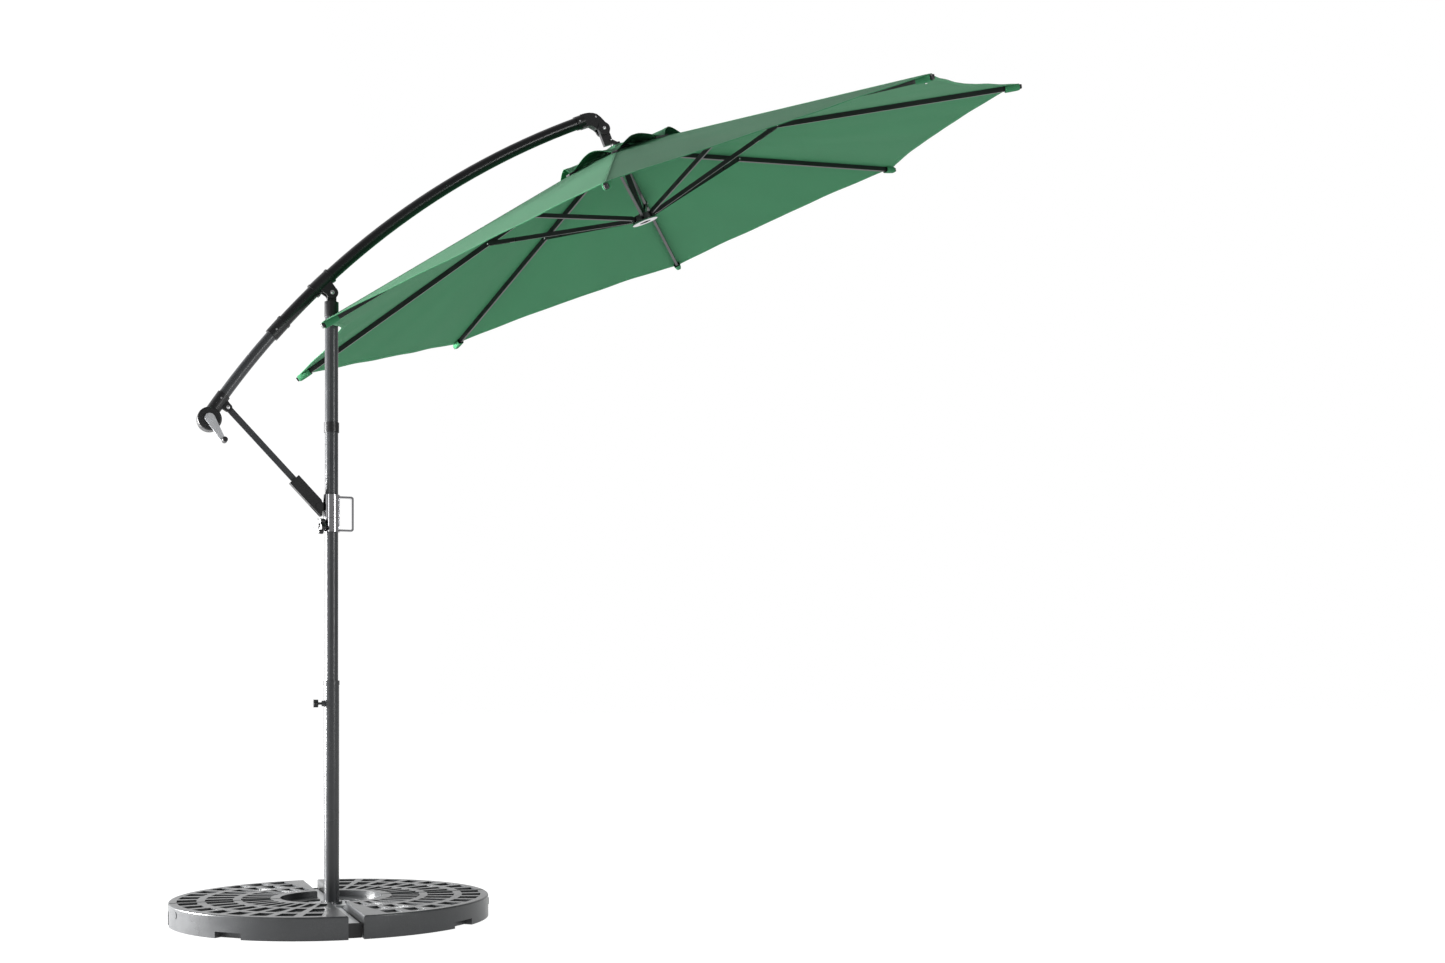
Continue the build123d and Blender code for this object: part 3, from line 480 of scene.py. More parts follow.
def merge(piece):
    """Welds doubles and turns the faces outwards."""
    shape = bmesh.new()
    shape.from_mesh(piece.data)
    bmesh.ops.remove_doubles(shape, verts=shape.verts, dist=DOUBLES)
    bmesh.ops.recalc_face_normals(shape, faces=shape.faces)
    shape.to_mesh(piece.data)
    shape.free()


def grid_faces(rows, columns):
    faces = []
    for r in range(rows - 1):
        for c in range(columns - 1):
            a = r * columns + c
            faces.append((a, a + 1, a + columns + 1, a + columns))
    return faces


def loft(loops, closed_ends=True):
    """Skin over closed loops of points: points and faces, with flat ends."""
    count = len(loops[0])
    points = [p for loop in loops for p in loop]
    faces = []
    for r in range(len(loops) - 1):
        for c in range(count):
            a = r * count + c
            b = r * count + (c + 1) % count
            faces.append((a, b, b + count, a + count))
    if closed_ends:
        faces.append(tuple(range(count - 1, -1, -1)))
        last = (len(loops) - 1) * count
        faces.append(tuple(range(last, last + count)))
    return points, faces


def circle(middle, first, second, radius, count):
    """Points of a circle in the plane of two unit directions."""
    points = []
    for step in range(count):
        angle = math.tau * step / count
        points.append(middle + first * radius * math.cos(angle)
                      + second * radius * math.sin(angle))
    return points


def lofted_piece(name, loops, material, closed_ends=True, smooth=True):
    """Piece skinned over loops of points, its doubles merged and its faces outwards."""
    points, faces = loft(loops, closed_ends)
    piece = new_piece(name, points, faces, material, smooth)
    merge(piece)
    return piece


def apply_modifiers(piece):
    """Replaces the mesh with the result of the modifiers, and removes them."""
    view = bpy.context.evaluated_depsgraph_get()
    view.update()
    result = bpy.data.meshes.new_from_object(piece.evaluated_get(view))
    piece.modifiers.clear()
    piece.data = result


# ---------------------------------------------------------------- the canopy's surface


SMOOTH_BEND = 2.0
DRAWN_IN_BEND = 1.15


def hem_depths(cloth):
    """Depth and bend of the hem in each gore; the mast draws the fifth one in to a corner."""
    depths = [(depth, SMOOTH_BEND) for depth in (0.042, 0.034, 0.046, 0.014)]
    depths.append((cloth.mast_hem, DRAWN_IN_BEND))
    return depths + [(0.042, SMOOTH_BEND)] * 3


def gore_point(part, reach, inner, run, hem):
    """Plan place in a gore: part across it from 0 to 1, run from the inner edge to the hem."""
    turn = 2 * HALF_GORE
    hem_x = reach * (1 - part + part * math.cos(turn))
    hem_y = reach * part * math.sin(turn)
    depth, bend = hem
    inward = depth * (1 - abs(2 * part - 1) ** bend)
    hem_x -= inward * math.cos(HALF_GORE)
    hem_y -= inward * math.sin(HALF_GORE)
    in_x = inner * (1 - part + part * math.cos(turn))
    in_y = inner * part * math.sin(turn)
    return in_x + run * (hem_x - in_x), in_y + run * (hem_y - in_y)


def cloth_lift(gore, part, run, cloth):
    """Dip of the cloth and its slack waves, zero on the ribs."""
    bell = math.sin(math.pi * part) ** 2
    dip = -cloth.sag * bell * run * (1.35 - 0.6 * run)
    seed = Vector((part * 5.0, run * 3.0, gore * 7.3))
    wave = 0.0035 * (noise.noise(seed) - 0.1) * bell
    edge = abs(part - 0.5) * 2
    pucker = 0.0010 * math.sin(26 * part + gore) * edge * (1 - edge) * 4 * run ** 6
    tug = 0.0
    if gore == 4:
        near_mast = math.exp(-((part - 0.5) / 0.13) ** 2) * run ** 5
        tug = 0.010 * near_mast
    return dip + wave + pucker + tug


def gore_beside(number, side):
    """Number of the gore on one side of a rib."""
    return number if side > 0 else (number - 1) % RIBS


def cloth_place(number, side, part, run, cloth, depths):
    """Point on the cloth's middle surface beside a rib: part from 0 on the rib to 0.5."""
    rib = RIB_PLACES[number]
    gore = gore_beside(number, side)
    x, y = gore_point(part, TIP_REACH, CLOTH_INNER, run, depths[gore])
    across = part if side > 0 else 1 - part
    height = CLOTH_BASE - RIB_FALL * x - GORE_FALL * y
    height += cloth_lift(gore, across, run, cloth) + cloth.thickness / 2
    return rib.at(x, side * y, height)


def flat_uv(side, x, y):
    """Place on the cut cloth: each gore's yarns run along its own middle line."""
    turn = HALF_GORE
    u = -x * math.sin(turn) + y * math.cos(turn)
    v = x * math.cos(turn) + y * math.sin(turn)
    return side * u, v


def steps_over_rib(half):
    """Sides and parts from the middle of one gore, over the rib, to that of the next."""
    steps = [(-1, 0.5 * (half - c) / half) for c in range(half)]
    return steps + [(1, 0.5 * c / half) for c in range(half + 1)]


def two_sided_grid(place, plan, rows, half):
    """Grid over both half gores beside a rib: points, faces and flat coordinates."""
    points, flats = [], []
    steps = steps_over_rib(half)
    for r in range(rows):
        run = r / (rows - 1)
        for side, part in steps:
            points.append(place(side, part, run))
            x, y = plan(side, part, run)
            flats.append(flat_uv(side, x, y))
    return points, grid_faces(rows, 2 * half + 1), flats


def set_flat_map(mesh, flats):
    layer = mesh.uv_layers.new(name="Flat")
    for loop in mesh.loops:
        layer.data[loop.index].uv = flats[loop.vertex_index]


def face_up(piece, up):
    """Turns an open sheet's faces so that they look along up."""
    shape = bmesh.new()
    shape.from_mesh(piece.data)
    shape.normal_update()
    total = sum((face.normal * face.calc_area() for face in shape.faces), Vector())
    if total.dot(up) < 0:
        bmesh.ops.reverse_faces(shape, faces=shape.faces)
    shape.to_mesh(piece.data)
    shape.free()


def thicken(piece, thickness, offset=0):
    solid = piece.modifiers.new("Thickness", "SOLIDIFY")
    solid.thickness = thickness
    solid.offset = offset
    solid.use_even_offset = False
    apply_modifiers(piece)


def cloth_sheet(name, place, plan, rows, half, thickness, body):
    """Cloth over both half gores beside a rib, and its area before it is thickened."""
    points, faces, flats = two_sided_grid(place, plan, rows, half)
    piece = new_piece(name, points, faces, "canopy_green")
    set_flat_map(piece.data, flats)
    face_up(piece, CANOPY_UP)
    area = sum(polygon.area for polygon in piece.data.polygons)
    thicken(piece, thickness)
    finish_piece(piece, body)
    return piece, area


def fold_with_rib(piece, number):
    """Gives the piece its own copy of its mesh; nothing here gathers the cloth against its rib."""
    rib = RIB_PLACES[number]
    tuple(rib.across)
    tuple(rib.pin)
    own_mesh(piece)


class UMBRELLA_OT_finishes(bpy.types.Operator):
    """Makes the materials and gives each rigid part its own"""

    bl_idname = "umbrella.finishes"
    bl_label = "Finishes"

    def execute(self, context):
        made = build_materials(context.scene)
        for entry in frame["record"]["subparts"]:
            node = NODES[entry["node"]]
            material = made[entry["material_slot"]]
            node.data.materials.clear()
            node.data.materials.append(material)
        return {"FINISHED"}


CLOTH_AREAS = {}


class UMBRELLA_OT_canopy(bpy.types.Operator):
    """Makes the cloth over each rib, out to the middles of the gores beside it"""

    bl_idname = "umbrella.canopy"
    bl_label = "Canopy cloth"

    def execute(self, context):
        cloth = context.scene.umbrella_cloth
        depths = hem_depths(cloth)
        for number in range(RIBS):
            def place(side, part, run):
                return cloth_place(number, side, part, run, cloth, depths)

            def plan(side, part, run):
                gore = gore_beside(number, side)
                return gore_point(part, TIP_REACH, CLOTH_INNER, run, depths[gore])

            piece, CLOTH_AREAS[number] = cloth_sheet(
                f"canopy_cloth_{number + 1}", place, plan, 61, 26, cloth.thickness,
                f"rib_{number + 1}")
            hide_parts(f"panel_{number + 1}")
            fold_with_rib(piece, number)
        return {"FINISHED"}


def cap_plan(part, run, cloth):
    """Plan place in one side of the vent cap."""
    reach = cloth.cap_reach
    return gore_point(part, reach, CAP_INNER, run, (CAP_HEM_SHARE * reach, SMOOTH_BEND))


def cap_place(number, side, part, run, cloth):
    """Point on the vent cap: low and tight on the ribs, arched between them."""
    x, y = cap_plan(part, run, cloth)
    apex = CLOTH_BASE + 0.0090
    low = CLOTH_BASE + 0.0045 - RIB_FALL * cloth.cap_reach
    arch = math.sin(math.pi * part) ** 1.3 if part > 0 else 0.0
    under = CLOTH_BASE - RIB_FALL * x - GORE_FALL * y
    straight = apex + (low - apex) * run
    high = under + cloth.cap_rise * (0.25 + 0.75 * run) * min(1.0, run * 1.6)
    height = straight + (max(high, under + 0.004) - straight) * arch * run ** 0.6
    seed = Vector((part * 6 + number, run * 4, side * 3.1))
    height += 0.0015 * noise.noise(seed) * arch * run
    return RIB_PLACES[number].at(x, side * y, max(height, under + 0.0025))


ARCH_SLACK = 1.12
SLOPE_SLACK = 1.06


class UMBRELLA_OT_vent_cap(bpy.types.Operator):
    """Makes the small top cap over the canopy's vent, one flap to a rib"""

    bl_idname = "umbrella.vent_cap"
    bl_label = "Vent cap"

    def execute(self, context):
        cloth = context.scene.umbrella_cloth
        for number in range(RIBS):
            def place(side, part, run):
                return cap_place(number, side, part, run, cloth)

            def plan(side, part, run):
                return cap_plan(part, run, cloth)

            piece, area = cloth_sheet(
                f"vent_flap_{number + 1}", place, plan, 21, 14, cloth.thickness,
                f"rib_{number + 1}")
            width = 2 * cloth.cap_reach * math.sin(HALF_GORE) * ARCH_SLACK
            length = (cloth.cap_reach - CAP_INNER) * SLOPE_SLACK
            min(area, width * length)
            fold_with_rib(piece, number)
            self.corner_tab(number)
        return {"FINISHED"}

    def corner_tab(self, number):
        """Black webbing tab that ties the cap's low corner to the canopy."""
        rib = RIB_PLACES[number]
        loops = []
        for run in (0.208, 0.222, 0.236, 0.248, 0.252):
            top = CLOTH_BASE + 0.0075 - RIB_FALL * run
            base = CLOTH_BASE + 0.0018 - RIB_FALL * run
            half = 0.011 if run < 0.25 else 0.009
            loops.append([
                rib.at(run, -half, base), rib.at(run, half, base),
                rib.at(run, half, top - 0.001), rib.at(run, half - 0.001, top),
                rib.at(run, -half + 0.001, top), rib.at(run, -half, top - 0.001),
            ])
        piece = lofted_piece(f"cap_tab_{number + 1}", loops, "cord_black", smooth=False)
        finish_piece(piece, rib.body)


HEM_STEPS = 24
CAP_STEPS = 14


def hem_section(number, side, part, cloth, depths):
    """Loop round the cloth's edge: the folded hem's section at one place."""
    edge = cloth_place(number, side, part, 1.0, cloth, depths)
    inside = cloth_place(number, side, part, 1 - cloth.hem_width / TIP_REACH, cloth, depths)
    inward = (inside - edge).normalized()
    ahead = cloth_place(number, side, min(0.5, part + 0.01), 1.0, cloth, depths)
    back = cloth_place(number, side, max(0.0, part - 0.01), 1.0, cloth, depths)
    normal = inward.cross(ahead - back).normalized()
    if normal.dot(CANOPY_UP) < 0:
        normal = -normal
    out = cloth.thickness / 2 + 0.0006
    width = (inside - edge).length
    outline = [
        (width, out * 0.7), (width - 0.001, out), (0.002, out), (-0.0006, out * 0.8),
        (-0.0014, 0), (-0.0006, -out * 0.8), (0.002, -out), (width - 0.001, -out),
        (width, -out * 0.7),
    ]
    return [edge + inward * a + normal * b for a, b in outline]


def path_flats(piece):
    """Flat coordinates for a narrow strip: the canopy's own plan, unrolled."""
    flats = []
    for vertex in piece.data.vertices:
        away = vertex.co - CROWN
        flats.append((away.dot(RIB_PLACES[0].out), away.dot(RIB_PLACES[0].across)))
    set_flat_map(piece.data, flats)


class UMBRELLA_OT_seams(bpy.types.Operator):
    """Makes the folded hem and the felled seam over each rib"""

    bl_idname = "umbrella.seams"
    bl_label = "Hem and seams"

    def execute(self, context):
        cloth = context.scene.umbrella_cloth
        depths = hem_depths(cloth)
        for number in range(RIBS):
            self.hem(number, cloth, depths)
            self.seam(number, cloth, depths)
        return {"FINISHED"}

    def hem(self, number, cloth, depths):
        loops = [hem_section(number, side, part, cloth, depths)
                 for side, part in steps_over_rib(HEM_STEPS)]
        piece = lofted_piece(f"hem_{number + 1}", loops, "hem_green")
        path_flats(piece)
        finish_piece(piece, f"rib_{number + 1}")
        fold_with_rib(piece, number)

    def seam(self, number, cloth, depths):
        rib = RIB_PLACES[number]
        half = cloth.seam_width / 2
        top = cloth.thickness / 2
        drop = GORE_FALL * half
        loops = []
        for step in range(60):
            run = 0.02 + 0.965 * step / 59
            ridge = cloth_place(number, 1, 0.0, run, cloth, depths)
            reach = (ridge - CROWN).dot(rib.out)
            base = (ridge - CROWN).dot(CANOPY_UP)
            section = [
                (-half, -drop - 0.0002), (-half, -drop + top + 0.0003),
                (-half * 0.8, -drop * 0.8 + top + 0.0007), (0, top + 0.0009),
                (half * 0.8, -drop * 0.8 + top + 0.0007), (half, -drop + top + 0.0003),
                (half, -drop - 0.0002), (0, -0.0002),
            ]
            loops.append([rib.at(reach, a, base + b) for a, b in section])
        piece = lofted_piece(f"rib_seam_{number + 1}", loops, "hem_green")
        path_flats(piece)
        finish_piece(piece, rib.body)


# ---------------------------------------------------------------- stitches


def repeating_group(name, sizes, material):
    """Empty geometry group: geometry in and out, named sizes and a material."""
    inputs = [("Geometry", "NodeSocketGeometry", None)]
    inputs += [(label, "NodeSocketFloat", value) for label, value in sizes]
    inputs.append((material, "NodeSocketMaterial", None))
    return new_group(name, inputs, [("Geometry", "NodeSocketGeometry")], "GeometryNodeTree")


def stitch_tree():
    """Geometry nodes: a row of short round stitches along the object's lines."""
    tree, start, end = repeating_group(
        "Stitch rows", (("Pitch", 0.005), ("Length", 0.0035), ("Thickness", 0.0004)), "Thread")
    line = tree.nodes.new("GeometryNodeMeshToCurve")
    rows = tree.nodes.new("GeometryNodeCurveToPoints")
    rows.mode = "LENGTH"
    stitch = tree.nodes.new("GeometryNodeMeshCylinder")
    stitch.inputs["Vertices"].default_value = 6
    placed = tree.nodes.new("GeometryNodeInstanceOnPoints")
    real = tree.nodes.new("GeometryNodeRealizeInstances")
    finish = tree.nodes.new("GeometryNodeSetMaterial")
    wire(
        tree,
        (start, "Geometry", line, "Mesh"), (line, "Curve", rows, "Curve"),
        (start, "Pitch", rows, "Length"), (start, "Length", stitch, "Depth"),
        (start, "Thickness", stitch, "Radius"), (rows, "Points", placed, "Points"),
        (rows, "Rotation", placed, "Rotation"), (stitch, "Mesh", placed, "Instance"),
        (placed, "Instances", real, "Geometry"), (real, "Geometry", finish, "Geometry"),
        (start, "Thread", finish, "Material"), (finish, "Geometry", end, "Geometry"),
    )
    return tree


def set_input(modifier, label, value):
    """Sets a geometry nodes input by its socket's identifier."""
    for item in modifier.node_group.interface.items_tree:
        if item.item_type == "SOCKET" and item.in_out == "INPUT" and item.name == label:
            modifier[item.identifier] = value
            return
    raise ValueError(label)


def repeat(name, mesh, tree, **inputs):
    """Plain mesh object of what the geometry group sets on the given mesh."""
    piece = new_object(name, mesh)
    rows = piece.modifiers.new("Repeat", "NODES")
    rows.node_group = tree
    for label, value in inputs.items():
        set_input(rows, label, value)
    apply_modifiers(piece)
    return piece


def stitch_rows(number, lines, tree, cloth):
    """One mesh of all the stitches on the given lines."""
    points, edges = [], []
    for line in lines:
        first = len(points)
        points += [tuple(p) for p in line]
        edges += [(first + i, first + i + 1) for i in range(len(line) - 1)]
    name = f"stitches_{number + 1}"
    mesh = bpy.data.meshes.new(name)
    mesh.from_pydata(points, edges, [])
    piece = repeat(name, mesh, tree, Pitch=cloth.stitch_pitch, Length=cloth.stitch_length,
                   Thickness=THREAD_RADIUS, Thread=MATERIALS["thread"])
    finish_piece(piece, f"rib_{number + 1}")
    fold_with_rib(piece, number)


THREAD_RADIUS = 0.00042
STITCH_OFFSET = 0.0036


class UMBRELLA_OT_stitching(bpy.types.Operator):
    """Sews rows of stitches along the seams and the hem"""

    bl_idname = "umbrella.stitching"
    bl_label = "Stitching"

    def execute(self, context):
        cloth = context.scene.umbrella_cloth
        depths = hem_depths(cloth)
        tree = stitch_tree()
        for number in range(RIBS):
            lines = self.seam_lines(number, cloth, depths) + self.hem_lines(number, cloth, depths)
            lines += self.cap_lines(number, cloth)
            stitch_rows(number, lines, tree, cloth)
        return {"FINISHED"}

    def seam_lines(self, number, cloth, depths):
        rib = RIB_PLACES[number]
        lines = []
        drop = GORE_FALL * STITCH_OFFSET
        for offset in (-STITCH_OFFSET, STITCH_OFFSET):
            line = []
            for step in range(50):
                run = 0.03 + 0.95 * step / 49
                ridge = cloth_place(number, 1, 0.0, run, cloth, depths)
                line.append(ridge + rib.across * offset + rib.up * (0.0016 - drop))
            lines.append(line)
        return lines

    def hem_lines(self, number, cloth, depths):
        lines = []
        for face, inside, edge in ((1, 1, 2), (-1, 7, 6)):
            line = []
            for side, part in steps_over_rib(HEM_STEPS):
                section = hem_section(number, side, part, cloth, depths)
                start, end = section[inside], section[edge]
                line.append(start + (end - start) * 0.15 + CANOPY_UP * 0.0002 * face)
            lines.append(line)
        return lines

    def cap_lines(self, number, cloth):
        return [[cap_place(number, side, part, 0.94, cloth) + CANOPY_UP * 0.0009
                 for side, part in steps_over_rib(CAP_STEPS)]]


# ---------------------------------------------------------------- tip pockets


BUTTON_RIB = 7


def rib_end(rib, short=0.0):
    """Point on a rib's middle line, short of the middle of its tip cap."""
    return rib.pin + rib.along * ((TIP_REACH - PIN_REACH) / math.cos(RIB_SLOPE) - short)


class UMBRELLA_OT_tip_pockets(bpy.types.Operator):
    """Makes the sewn pockets that hold the cloth on the rib ends"""

    bl_idname = "umbrella.tip_pockets"
    bl_label = "Tip pockets"

    def execute(self, context):
        for number in range(RIBS):
            self.pocket(number)
        self.button(BUTTON_RIB)
        return {"FINISHED"}

    def pocket(self, number):
        """Flattened sleeve round the rib's end, wider at its mouth, under the canopy."""
        rib = RIB_PLACES[number]
        above = rib.along.cross(-rib.across).normalized()
        if above.dot(CANOPY_UP) < 0:
            above = -above
        end = rib_end(rib)
        loops = []
        for place, half, low, high in (
            (-0.046, 0.0125, -0.0105, 0.0090), (-0.044, 0.0130, -0.0110, 0.0093),
            (-0.030, 0.0122, -0.0110, 0.0094), (-0.014, 0.0108, -0.0106, 0.0095),
            (0.000, 0.0090, -0.0098, 0.0093), (0.003, 0.0076, -0.0085, 0.0084),
        ):
            middle = end + rib.along * place
            ring = []
            for turn in range(20):
                angle = math.tau * turn / 20
                c, s = math.cos(angle), math.sin(angle)
                wide = half * math.copysign(abs(c) ** 0.55, c)
                tall = (high if s > 0 else -low) * math.copysign(abs(s) ** 0.55, s)
                ring.append(middle + rib.across * wide + above * tall)
            loops.append(ring)
        piece = lofted_piece(
            f"tip_pocket_{number + 1}", loops, "canopy_green", closed_ends=False)
        path_flats(piece)
        thicken(piece, 0.0012, offset=1)
        finish_piece(piece, rib.body)

    def button(self, number):
        """Small press stud on the pocket of one rib."""
        rib = RIB_PLACES[number]
        end = rib_end(rib, 0.022)
        loops = []
        for height, radius in ((0.0, 0.0045), (0.0012, 0.0045), (0.0022, 0.0030),
                               (0.0025, 0.0008)):
            middle = end - CANOPY_UP * (0.0125 + height)
            loops.append(circle(middle, rib.across, rib.along, radius, 20))
        piece = lofted_piece(f"press_stud_{number + 1}", loops, "pin_steel")
        finish_piece(piece, rib.body)


class UMBRELLA_OT_cloth_facts(bpy.types.Operator):
    """Step for the canopy's cloth facts; it finishes without making or declaring anything"""

    bl_idname = "umbrella.cloth_facts"
    bl_label = "Cloth facts"

    def execute(self, context):
        return {"FINISHED"}


# ---------------------------------------------------------------- small frame pieces


class UMBRELLA_OT_trim(bpy.types.Operator):
    """Makes the runner's bright ring and the disc on the star knob's face"""

    bl_idname = "umbrella.trim"
    bl_label = "Trim"

    def execute(self, context):
        self.runner_ring()
        self.knob_disc()
        return {"FINISHED"}

    def runner_ring(self):
        pin = Vector(JOINTS["runner_level"]["pos_m"])
        height = (pin - CROWN).dot(CANOPY_UP)
        rib = RIB_PLACES[0]
        section = ((0.0195, -0.0172), (0.0450, -0.0172), (0.0458, -0.0164), (0.0458, -0.0126),
                   (0.0450, -0.0118), (0.0195, -0.0118))
        loops = []
        for way in circle(Vector(), rib.out, rib.across, 1.0, 64):
            loops.append([CROWN + way * r + CANOPY_UP * (height + z) for r, z in section])
        loops.append(loops[0])
        piece = lofted_piece("runner_ring", loops, "chrome", closed_ends=False)
        finish_piece(piece, "runner")

    def knob_disc(self):
        joint = JOINTS["star_turn"]
        axis = Vector(joint["axis"]).normalized()
        middle = Vector(joint["pos_m"])
        side = axis.cross(Vector((0, 0, 1))).normalized()
        up = side.cross(axis)
        loops = []
        for place, radius in ((0.0516, 0.0086), (0.0524, 0.0086), (0.0527, 0.0080),
                              (0.0527, 0.0010)):
            loops.append(circle(middle + axis * place, side, up, radius, 32))
        piece = lofted_piece("knob_disc", loops, "mould_grey")
        finish_piece(piece, "star")


# ---------------------------------------------------------------- rivets


def rivet_tree():
    """Geometry nodes: a domed head on each point, turned to the point's own direction."""
    tree, start, end = repeating_group(
        "Domed rivets", (("Radius", 0.0036), ("Height", 0.0016)), "Metal")
    dome = tree.nodes.new("GeometryNodeMeshUVSphere")
    dome.inputs["Segments"].default_value = 20
    dome.inputs["Rings"].default_value = 10
    dome.inputs["Radius"].default_value = 1.0
    size = tree.nodes.new("ShaderNodeCombineXYZ")
    facing = tree.nodes.new("GeometryNodeInputNamedAttribute")
    facing.data_type = "FLOAT_VECTOR"
    facing.inputs["Name"].default_value = "facing"
    turn = tree.nodes.new("FunctionNodeAlignRotationToVector")
    turn.axis = "Z"
    placed = tree.nodes.new("GeometryNodeInstanceOnPoints")
    points = tree.nodes.new("GeometryNodeMeshToPoints")
    real = tree.nodes.new("GeometryNodeRealizeInstances")
    smooth = tree.nodes.new("GeometryNodeSetShadeSmooth")
    finish = tree.nodes.new("GeometryNodeSetMaterial")
    wire(
        tree,
        (start, "Geometry", points, "Mesh"), (points, "Points", placed, "Points"),
        (dome, "Mesh", placed, "Instance"), (start, "Radius", size, "X"),
        (start, "Radius", size, "Y"), (start, "Height", size, "Z"),
        (size, 0, placed, "Scale"), (facing, 0, turn, "Vector"),
        (turn, 0, placed, "Rotation"), (placed, "Instances", real, "Geometry"),
        (real, "Geometry", smooth, "Geometry"), (smooth, "Geometry", finish, "Geometry"),
        (start, "Metal", finish, "Material"), (finish, "Geometry", end, "Geometry"),
    )
    return tree


def rivet_set(name, places, tree, radius, height, body):
    """Rivet heads at (point, direction) places, as one plain mesh."""
    mesh = bpy.data.meshes.new(name)
    mesh.from_pydata([tuple(point) for point, _ in places], [], [])
    facing = mesh.attributes.new("facing", "FLOAT_VECTOR", "POINT")
    for index, (_, way) in enumerate(places):
        facing.data[index].vector = way
    piece = repeat(name, mesh, tree, Radius=radius, Height=height, Metal=MATERIALS["pin_steel"])
    finish_piece(piece, body)


def both_faces(place, half, way):
    """Rivet places on two opposite faces, half a width each side of a point."""
    return [(place - way * half, -way), (place + way * half, way)]


class UMBRELLA_OT_rivets(bpy.types.Operator):
    """Sets the domed rivets and pin heads of the frame"""

    bl_idname = "umbrella.rivets"
    bl_label = "Rivets"

    def execute(self, context):
        radius = context.scene.umbrella_frame.rivet_radius
        tree = rivet_tree()
        far = Vector((0, 1, 0))
        tilt = Vector(JOINTS["canopy_tilt"]["pos_m"])
        ear = Vector(JOINTS["strut_swing"]["pos_m"])
        head = Vector(JOINTS["arm_raise"]["pos_m"])
        pins = []
        for place, half in ((tilt, 0.021), (ear, 0.0104), (head, 0.020)):
            pins += both_faces(place, half, far)
        rivet_set("pin_heads", pins, tree, 0.0048, 0.0020, "arm")
        low_link, high_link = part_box("crown_link")
        link_point = Vector((tilt.x * 0.45 + high_link.x * 0.55, 0,
                             tilt.z * 0.42 + low_link.z * 0.58))
        rivet_set("link_rivets", both_faces(link_point, 0.0086, far), tree, radius, 0.0018,
                  "crown")
        for rib in RIB_PLACES:
            heads = both_faces(rib.stay_pin, 0.0090, rib.across)
            rivet_set(f"stay_rivets_{rib.number}", heads, tree, 0.0030, 0.0013,
                      f"stay_{rib.number}")
        return {"FINISHED"}


# ---------------------------------------------------------------- stage


FLOOR_HALF = 40
GLOW_SHARE = 0.60
CAMERA_GLOW_SHARE = 0.25
LEFT_STRIP_SHARE = 0.25
CAMERA_PLACE = (-0.784, -5.435, 0.739)
CAMERA_TURN = math.radians(-21.65)
CAMERA_SHIFT = (-0.0035, 0.1433)


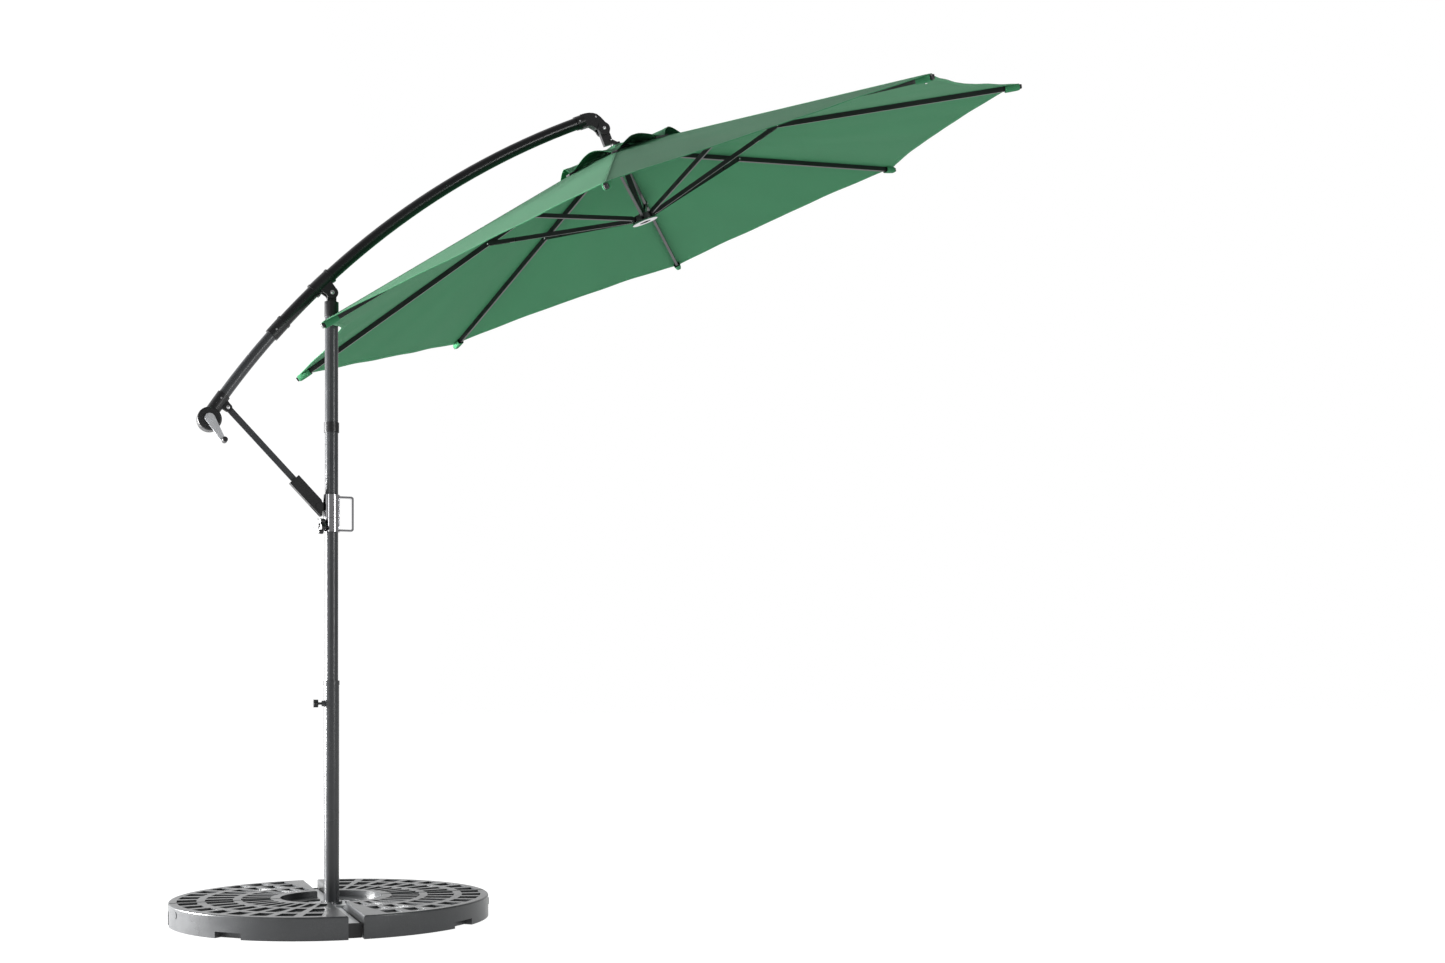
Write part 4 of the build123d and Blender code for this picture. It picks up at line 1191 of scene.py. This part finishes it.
class UMBRELLA_OT_stage(bpy.types.Operator):
    """Sets the floor, the lights and the camera"""

    bl_idname = "umbrella.stage"
    bl_label = "Stage"

    def execute(self, context):
        stage = context.scene.umbrella_stage
        self.floor(stage)
        self.lights(context.scene, stage)
        self.camera(context.scene, stage)
        return {"FINISHED"}

    def floor(self, stage):
        mesh = bpy.data.meshes.new("floor")
        corners = [(x * FLOOR_HALF, y * FLOOR_HALF, 0)
                   for x, y in ((-1, -1), (1, -1), (1, 1), (-1, 1))]
        mesh.from_pydata(corners, [], [(0, 1, 2, 3)])
        material, tree, shader = blank_material("Pale floor")
        shader.inputs["Base Color"].default_value = stage.floor
        shader.inputs["Roughness"].default_value = 0.9
        self.lighten(tree, shader, stage)
        mesh.materials.append(material)
        new_object("floor", mesh)

    def lighten(self, tree, shader, stage):
        """Lets the camera see the floor nearly white, with faint shadows."""
        glow = tree.nodes.new("ShaderNodeEmission")
        glow.inputs["Strength"].default_value = stage.floor_glow
        rays = tree.nodes.new("ShaderNodeLightPath")
        mix = tree.nodes.new("ShaderNodeMixShader")
        share = maths(tree, "MULTIPLY", rays.outputs["Is Camera Ray"], CAMERA_GLOW_SHARE)
        share = maths(tree, "ADD", share, GLOW_SHARE)
        tree.links.new(share, mix.inputs[0])
        tree.links.new(shader.outputs[0], mix.inputs[1])
        tree.links.new(glow.outputs[0], mix.inputs[2])
        tree.links.new(mix.outputs[0], tree.nodes["Material Output"].inputs["Surface"])

    def area_light(self, name, place, target, size, power):
        data = bpy.data.lights.new(name, "AREA")
        data.shape = "RECTANGLE"
        data.size, data.size_y = size
        data.energy = power
        lamp = new_object(name, data)
        lamp.location = place
        way = Vector(target) - Vector(place)
        lamp.rotation_euler = way.to_track_quat("-Z", "Y").to_euler()

    def lights(self, scene, stage):
        world = bpy.data.worlds.new("Studio")
        world.use_nodes = True
        back = world.node_tree.nodes["Background"]
        back.inputs["Color"].default_value = (1, 1, 1, 1)
        tree = world.node_tree
        way = tree.nodes.new("ShaderNodeSeparateXYZ")
        tree.links.new(tree.nodes.new("ShaderNodeTexCoord").outputs["Generated"], way.inputs[0])
        level = maths(tree, "MULTIPLY", way.outputs[0], -0.35)
        for axis, weight in ((1, 0.80), (2, 0.05)):
            level = maths(tree, "ADD", level, maths(tree, "MULTIPLY", way.outputs[axis], weight))
        level = maths(tree, "MAXIMUM", maths(tree, "ADD", level, 0.40), 0.28)
        level = maths(tree, "MULTIPLY", level, stage.sky)
        rays = tree.nodes.new("ShaderNodeLightPath")
        seen = maths(tree, "MULTIPLY", rays.outputs["Is Camera Ray"], 2.0)
        level = maths(tree, "MAXIMUM", level, maths(tree, "MINIMUM", seen, 1.0))
        tree.links.new(level, back.inputs["Strength"])
        scene.world = world
        self.area_light("key", (-4.4, 2.0, 1.0), (0.9, 0, 2.4), (1.6, 1.4), stage.key_power)
        self.area_light("left strip", (-3.9, -3.6, 2.0), (0, 0, 1.8), (0.7, 2.6),
                        LEFT_STRIP_SHARE * stage.fill_power)
        self.area_light("right strip", (3.2, -4.4, 2.0), (0, 0, 1.8), (0.7, 2.6),
                        stage.fill_power)

    def camera(self, scene, stage):
        data = bpy.data.cameras.new("Camera")
        data.lens = stage.lens
        data.sensor_width = 36
        data.sensor_fit = "HORIZONTAL"
        data.shift_x, data.shift_y = CAMERA_SHIFT
        data.clip_end = 100
        camera = new_object("Camera", data)
        camera.location = CAMERA_PLACE
        camera.rotation_euler = (math.radians(90), 0, CAMERA_TURN)
        scene.camera = camera
        scene.view_settings.view_transform = "Standard"


# ---------------------------------------------------------------- panel and registration


PIECE_OPERATORS = (
    UMBRELLA_OT_finishes,
    UMBRELLA_OT_canopy,
    UMBRELLA_OT_vent_cap,
    UMBRELLA_OT_seams,
    UMBRELLA_OT_stitching,
    UMBRELLA_OT_tip_pockets,
    UMBRELLA_OT_cloth_facts,
    UMBRELLA_OT_trim,
    UMBRELLA_OT_rivets,
    UMBRELLA_OT_stage,
)


class UMBRELLA_PT_sidebar(bpy.types.Panel):
    """Lists the umbrella's pieces and settings"""

    bl_idname = "UMBRELLA_PT_sidebar"
    bl_label = "Patio umbrella"
    bl_space_type = "VIEW_3D"
    bl_region_type = "UI"
    bl_category = "Umbrella"

    def draw(self, context):
        layout = self.layout
        for operator in PIECE_OPERATORS:
            layout.operator(operator.bl_idname)
        for group in (context.scene.umbrella_cloth, context.scene.umbrella_frame,
                      context.scene.umbrella_stage):
            box = layout.box()
            for name in group.__annotations__:
                box.prop(group, name)


SETTINGS = (
    ("umbrella_cloth", UmbrellaClothSettings),
    ("umbrella_frame", UmbrellaFrameSettings),
    ("umbrella_stage", UmbrellaStageSettings),
)


def register():
    for name, group in SETTINGS:
        bpy.utils.register_class(group)
        setattr(bpy.types.Scene, name, bpy.props.PointerProperty(type=group))
    for operator in PIECE_OPERATORS:
        bpy.utils.register_class(operator)
    bpy.utils.register_class(UMBRELLA_PT_sidebar)


def unregister():
    bpy.utils.unregister_class(UMBRELLA_PT_sidebar)
    for operator in reversed(PIECE_OPERATORS):
        bpy.utils.unregister_class(operator)
    for name, group in reversed(SETTINGS):
        delattr(bpy.types.Scene, name)
        bpy.utils.unregister_class(group)


def main():
    register()
    bpy.ops.umbrella.finishes()
    bpy.ops.umbrella.canopy()
    bpy.ops.umbrella.vent_cap()
    bpy.ops.umbrella.seams()
    bpy.ops.umbrella.stitching()
    bpy.ops.umbrella.tip_pockets()
    bpy.ops.umbrella.cloth_facts()
    bpy.ops.umbrella.trim()
    bpy.ops.umbrella.rivets()
    bpy.ops.umbrella.stage()


if __name__ == "__main__":
    main()
